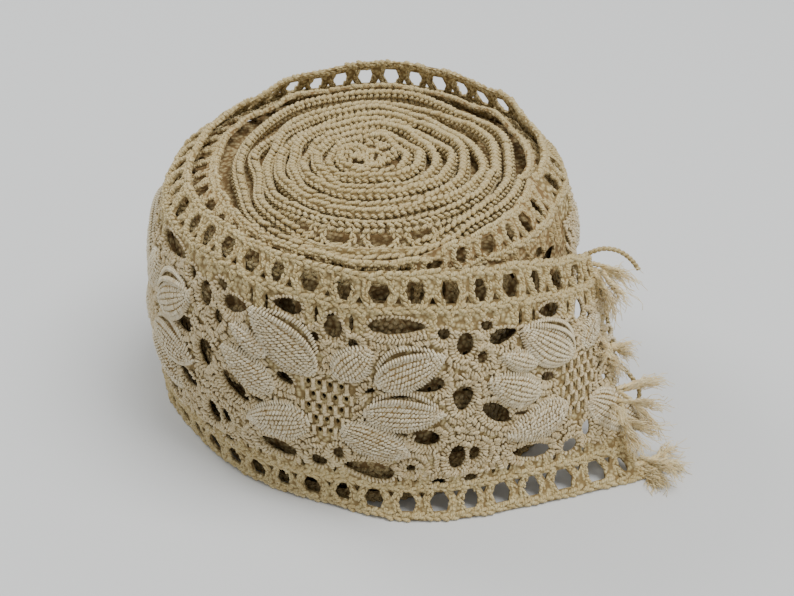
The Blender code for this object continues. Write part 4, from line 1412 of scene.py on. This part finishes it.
def cord_mesh(name):
    """Twisted cords along their own routes."""
    starts = []
    ends = []
    for route in map(np.array, CORDS):
        steps = walked(route)
        at = np.arange(0.0, steps[-1], 0.25 * CORD_PITCH)
        line = np.stack([spline(route[:, k], steps, at) for k in range(3)], 1)
        ahead = unit(np.gradient(line, axis=0))
        side = unit(np.cross(ahead, (0.2, 0.9, 0.3)))
        up = np.cross(side, ahead)
        for phase in (0.0, math.pi):
            turn = (math.pi * at / CORD_PITCH + phase)[:, None]
            strand = line + 0.42 * CORD_WIDTH * (side * np.cos(turn) + up * np.sin(turn))
            starts.append(strand[:-2])
            ends.append(strand[2:])
    starts = np.concatenate(starts) * MM
    ends = np.concatenate(ends) * MM
    outs = np.tile((0.3, -0.8, 0.5), (len(starts), 1))
    width = np.full(len(starts), CORD_WIDTH * MM)
    return thread_mesh(name, starts, ends, outs, width, width, sides=5, rings=LIGHT_RINGS)


def twisted_ring(past, up, radius):
    """A small ring past the cut end: one slanting thread at each pitch."""
    angle = np.linspace(0.0, 2 * math.pi, 13)
    middle = TURN_LENGTH + past
    spots, heading = resample(np.stack((middle + radius * np.cos(angle),
                                        up + radius * np.sin(angle)), 1), RING_PITCH)
    across = left_of(heading)
    wander = jitter(0.06, len(spots), 2)
    step = heading * 0.55 * RING_PITCH + across * 0.24 * RING_WIDTH
    lift = jitter(0.06, len(spots))
    return stitch_list(spots - step + wander, spots + step + wander, lift - 0.1, lift + 0.1,
                       0.66 * RING_WIDTH, RING_THICK)


loose_cords = add_piece("loose_cords", cord_mesh("loose_cords"), crochet_cotton)
loose_rings = lay("loose_rings", np.vstack([twisted_ring(*ring) for ring in RINGS]), silky_cotton)

# %% [markdown]
# The webs of the outer turn and of the one under it are sheets of cloth, and so are
# the two spiral walls. The webs' flat areas, which leave out their holes, are printed.

print("flat areas", outer_area, under_area)

# %% [markdown]
# The roll stands on a plain pale floor. A soft light hangs above it, to the right and
# a little in front, and a weaker window lights it from behind on the left. Even room
# light fills the rest, so that the gaps stay dark and the leaves keep small glints.

# %% Floor, light and camera
FLOOR_HALF = 3.0
ROOM_LIGHT = 0.72
CAMERA_RISE = 33.0
CAMERA_DISTANCE = 245.0
CAMERA_TARGET = (5.2, 0.0, 17.6)
CAMERA_LENS = 59.4
LIGHT_TARGET = (0.0, 0.0, 0.02)


def place_object(name, data, place, facing=None):
    """Put an object in the scene, turned to face a way if one is given."""
    holder = bpy.data.objects.new(name, data)
    holder.location = place
    if facing is not None:
        holder.rotation_euler = facing.to_track_quat("-Z", "Y").to_euler()
    bpy.context.scene.collection.objects.link(holder)
    return holder


def plain_floor():
    """A large pale matte floor."""
    corners = [(-FLOOR_HALF, -FLOOR_HALF, 0), (FLOOR_HALF, -FLOOR_HALF, 0),
               (FLOOR_HALF, FLOOR_HALF, 0), (-FLOOR_HALF, FLOOR_HALF, 0)]
    mesh = plain_mesh("floor", corners, [(0, 1, 2, 3)], smooth=False)
    # Pale matte board: a broad even grey-white with no shine.
    mesh.materials.append(new_material("plain_floor", {"Base Color": linear("#d6d7d6"),
                                                       "Roughness": 0.9})[0])
    return place_object("floor", mesh, (0, 0, 0))


def area_light(name, place, size, power, colour):
    """A soft square light that looks at the roll."""
    lamp = bpy.data.lights.new(name, "AREA")
    lamp.size = size
    lamp.energy = power
    lamp.color = linear(colour)[:3]
    place_object(name, lamp, place, Vector(LIGHT_TARGET) - Vector(place))


def photo_camera():
    """A camera in front of the roll, looking down at it."""
    rise = math.radians(CAMERA_RISE)
    back = Vector((0.0, -math.cos(rise), math.sin(rise)))
    data = bpy.data.cameras.new("camera")
    data.lens = CAMERA_LENS
    data.sensor_width = 36.0
    data.clip_start = 0.01
    place = (Vector(CAMERA_TARGET) + back * CAMERA_DISTANCE) * MM
    bpy.context.scene.camera = place_object("camera", data, place, -back)


plain_floor()
area_light("overhead_light", (0.35, -0.15, 0.9), 0.6, 8.6, "#ffffff")
area_light("window_light", (-0.55, 0.35, 0.55), 0.3, 2.6, "#fbfdff")
world = bpy.data.worlds.new("room")
bpy.context.scene.world = world
world.use_nodes = True
world.node_tree.nodes["Background"].inputs["Color"].default_value = linear("#eef0f2")
world.node_tree.nodes["Background"].inputs["Strength"].default_value = ROOM_LIGHT
photo_camera()
print("camera", CAMERA_DISTANCE, "mm away,", CAMERA_RISE, "degrees above the table")

# %% Finish
bpy.context.view_layer.update()
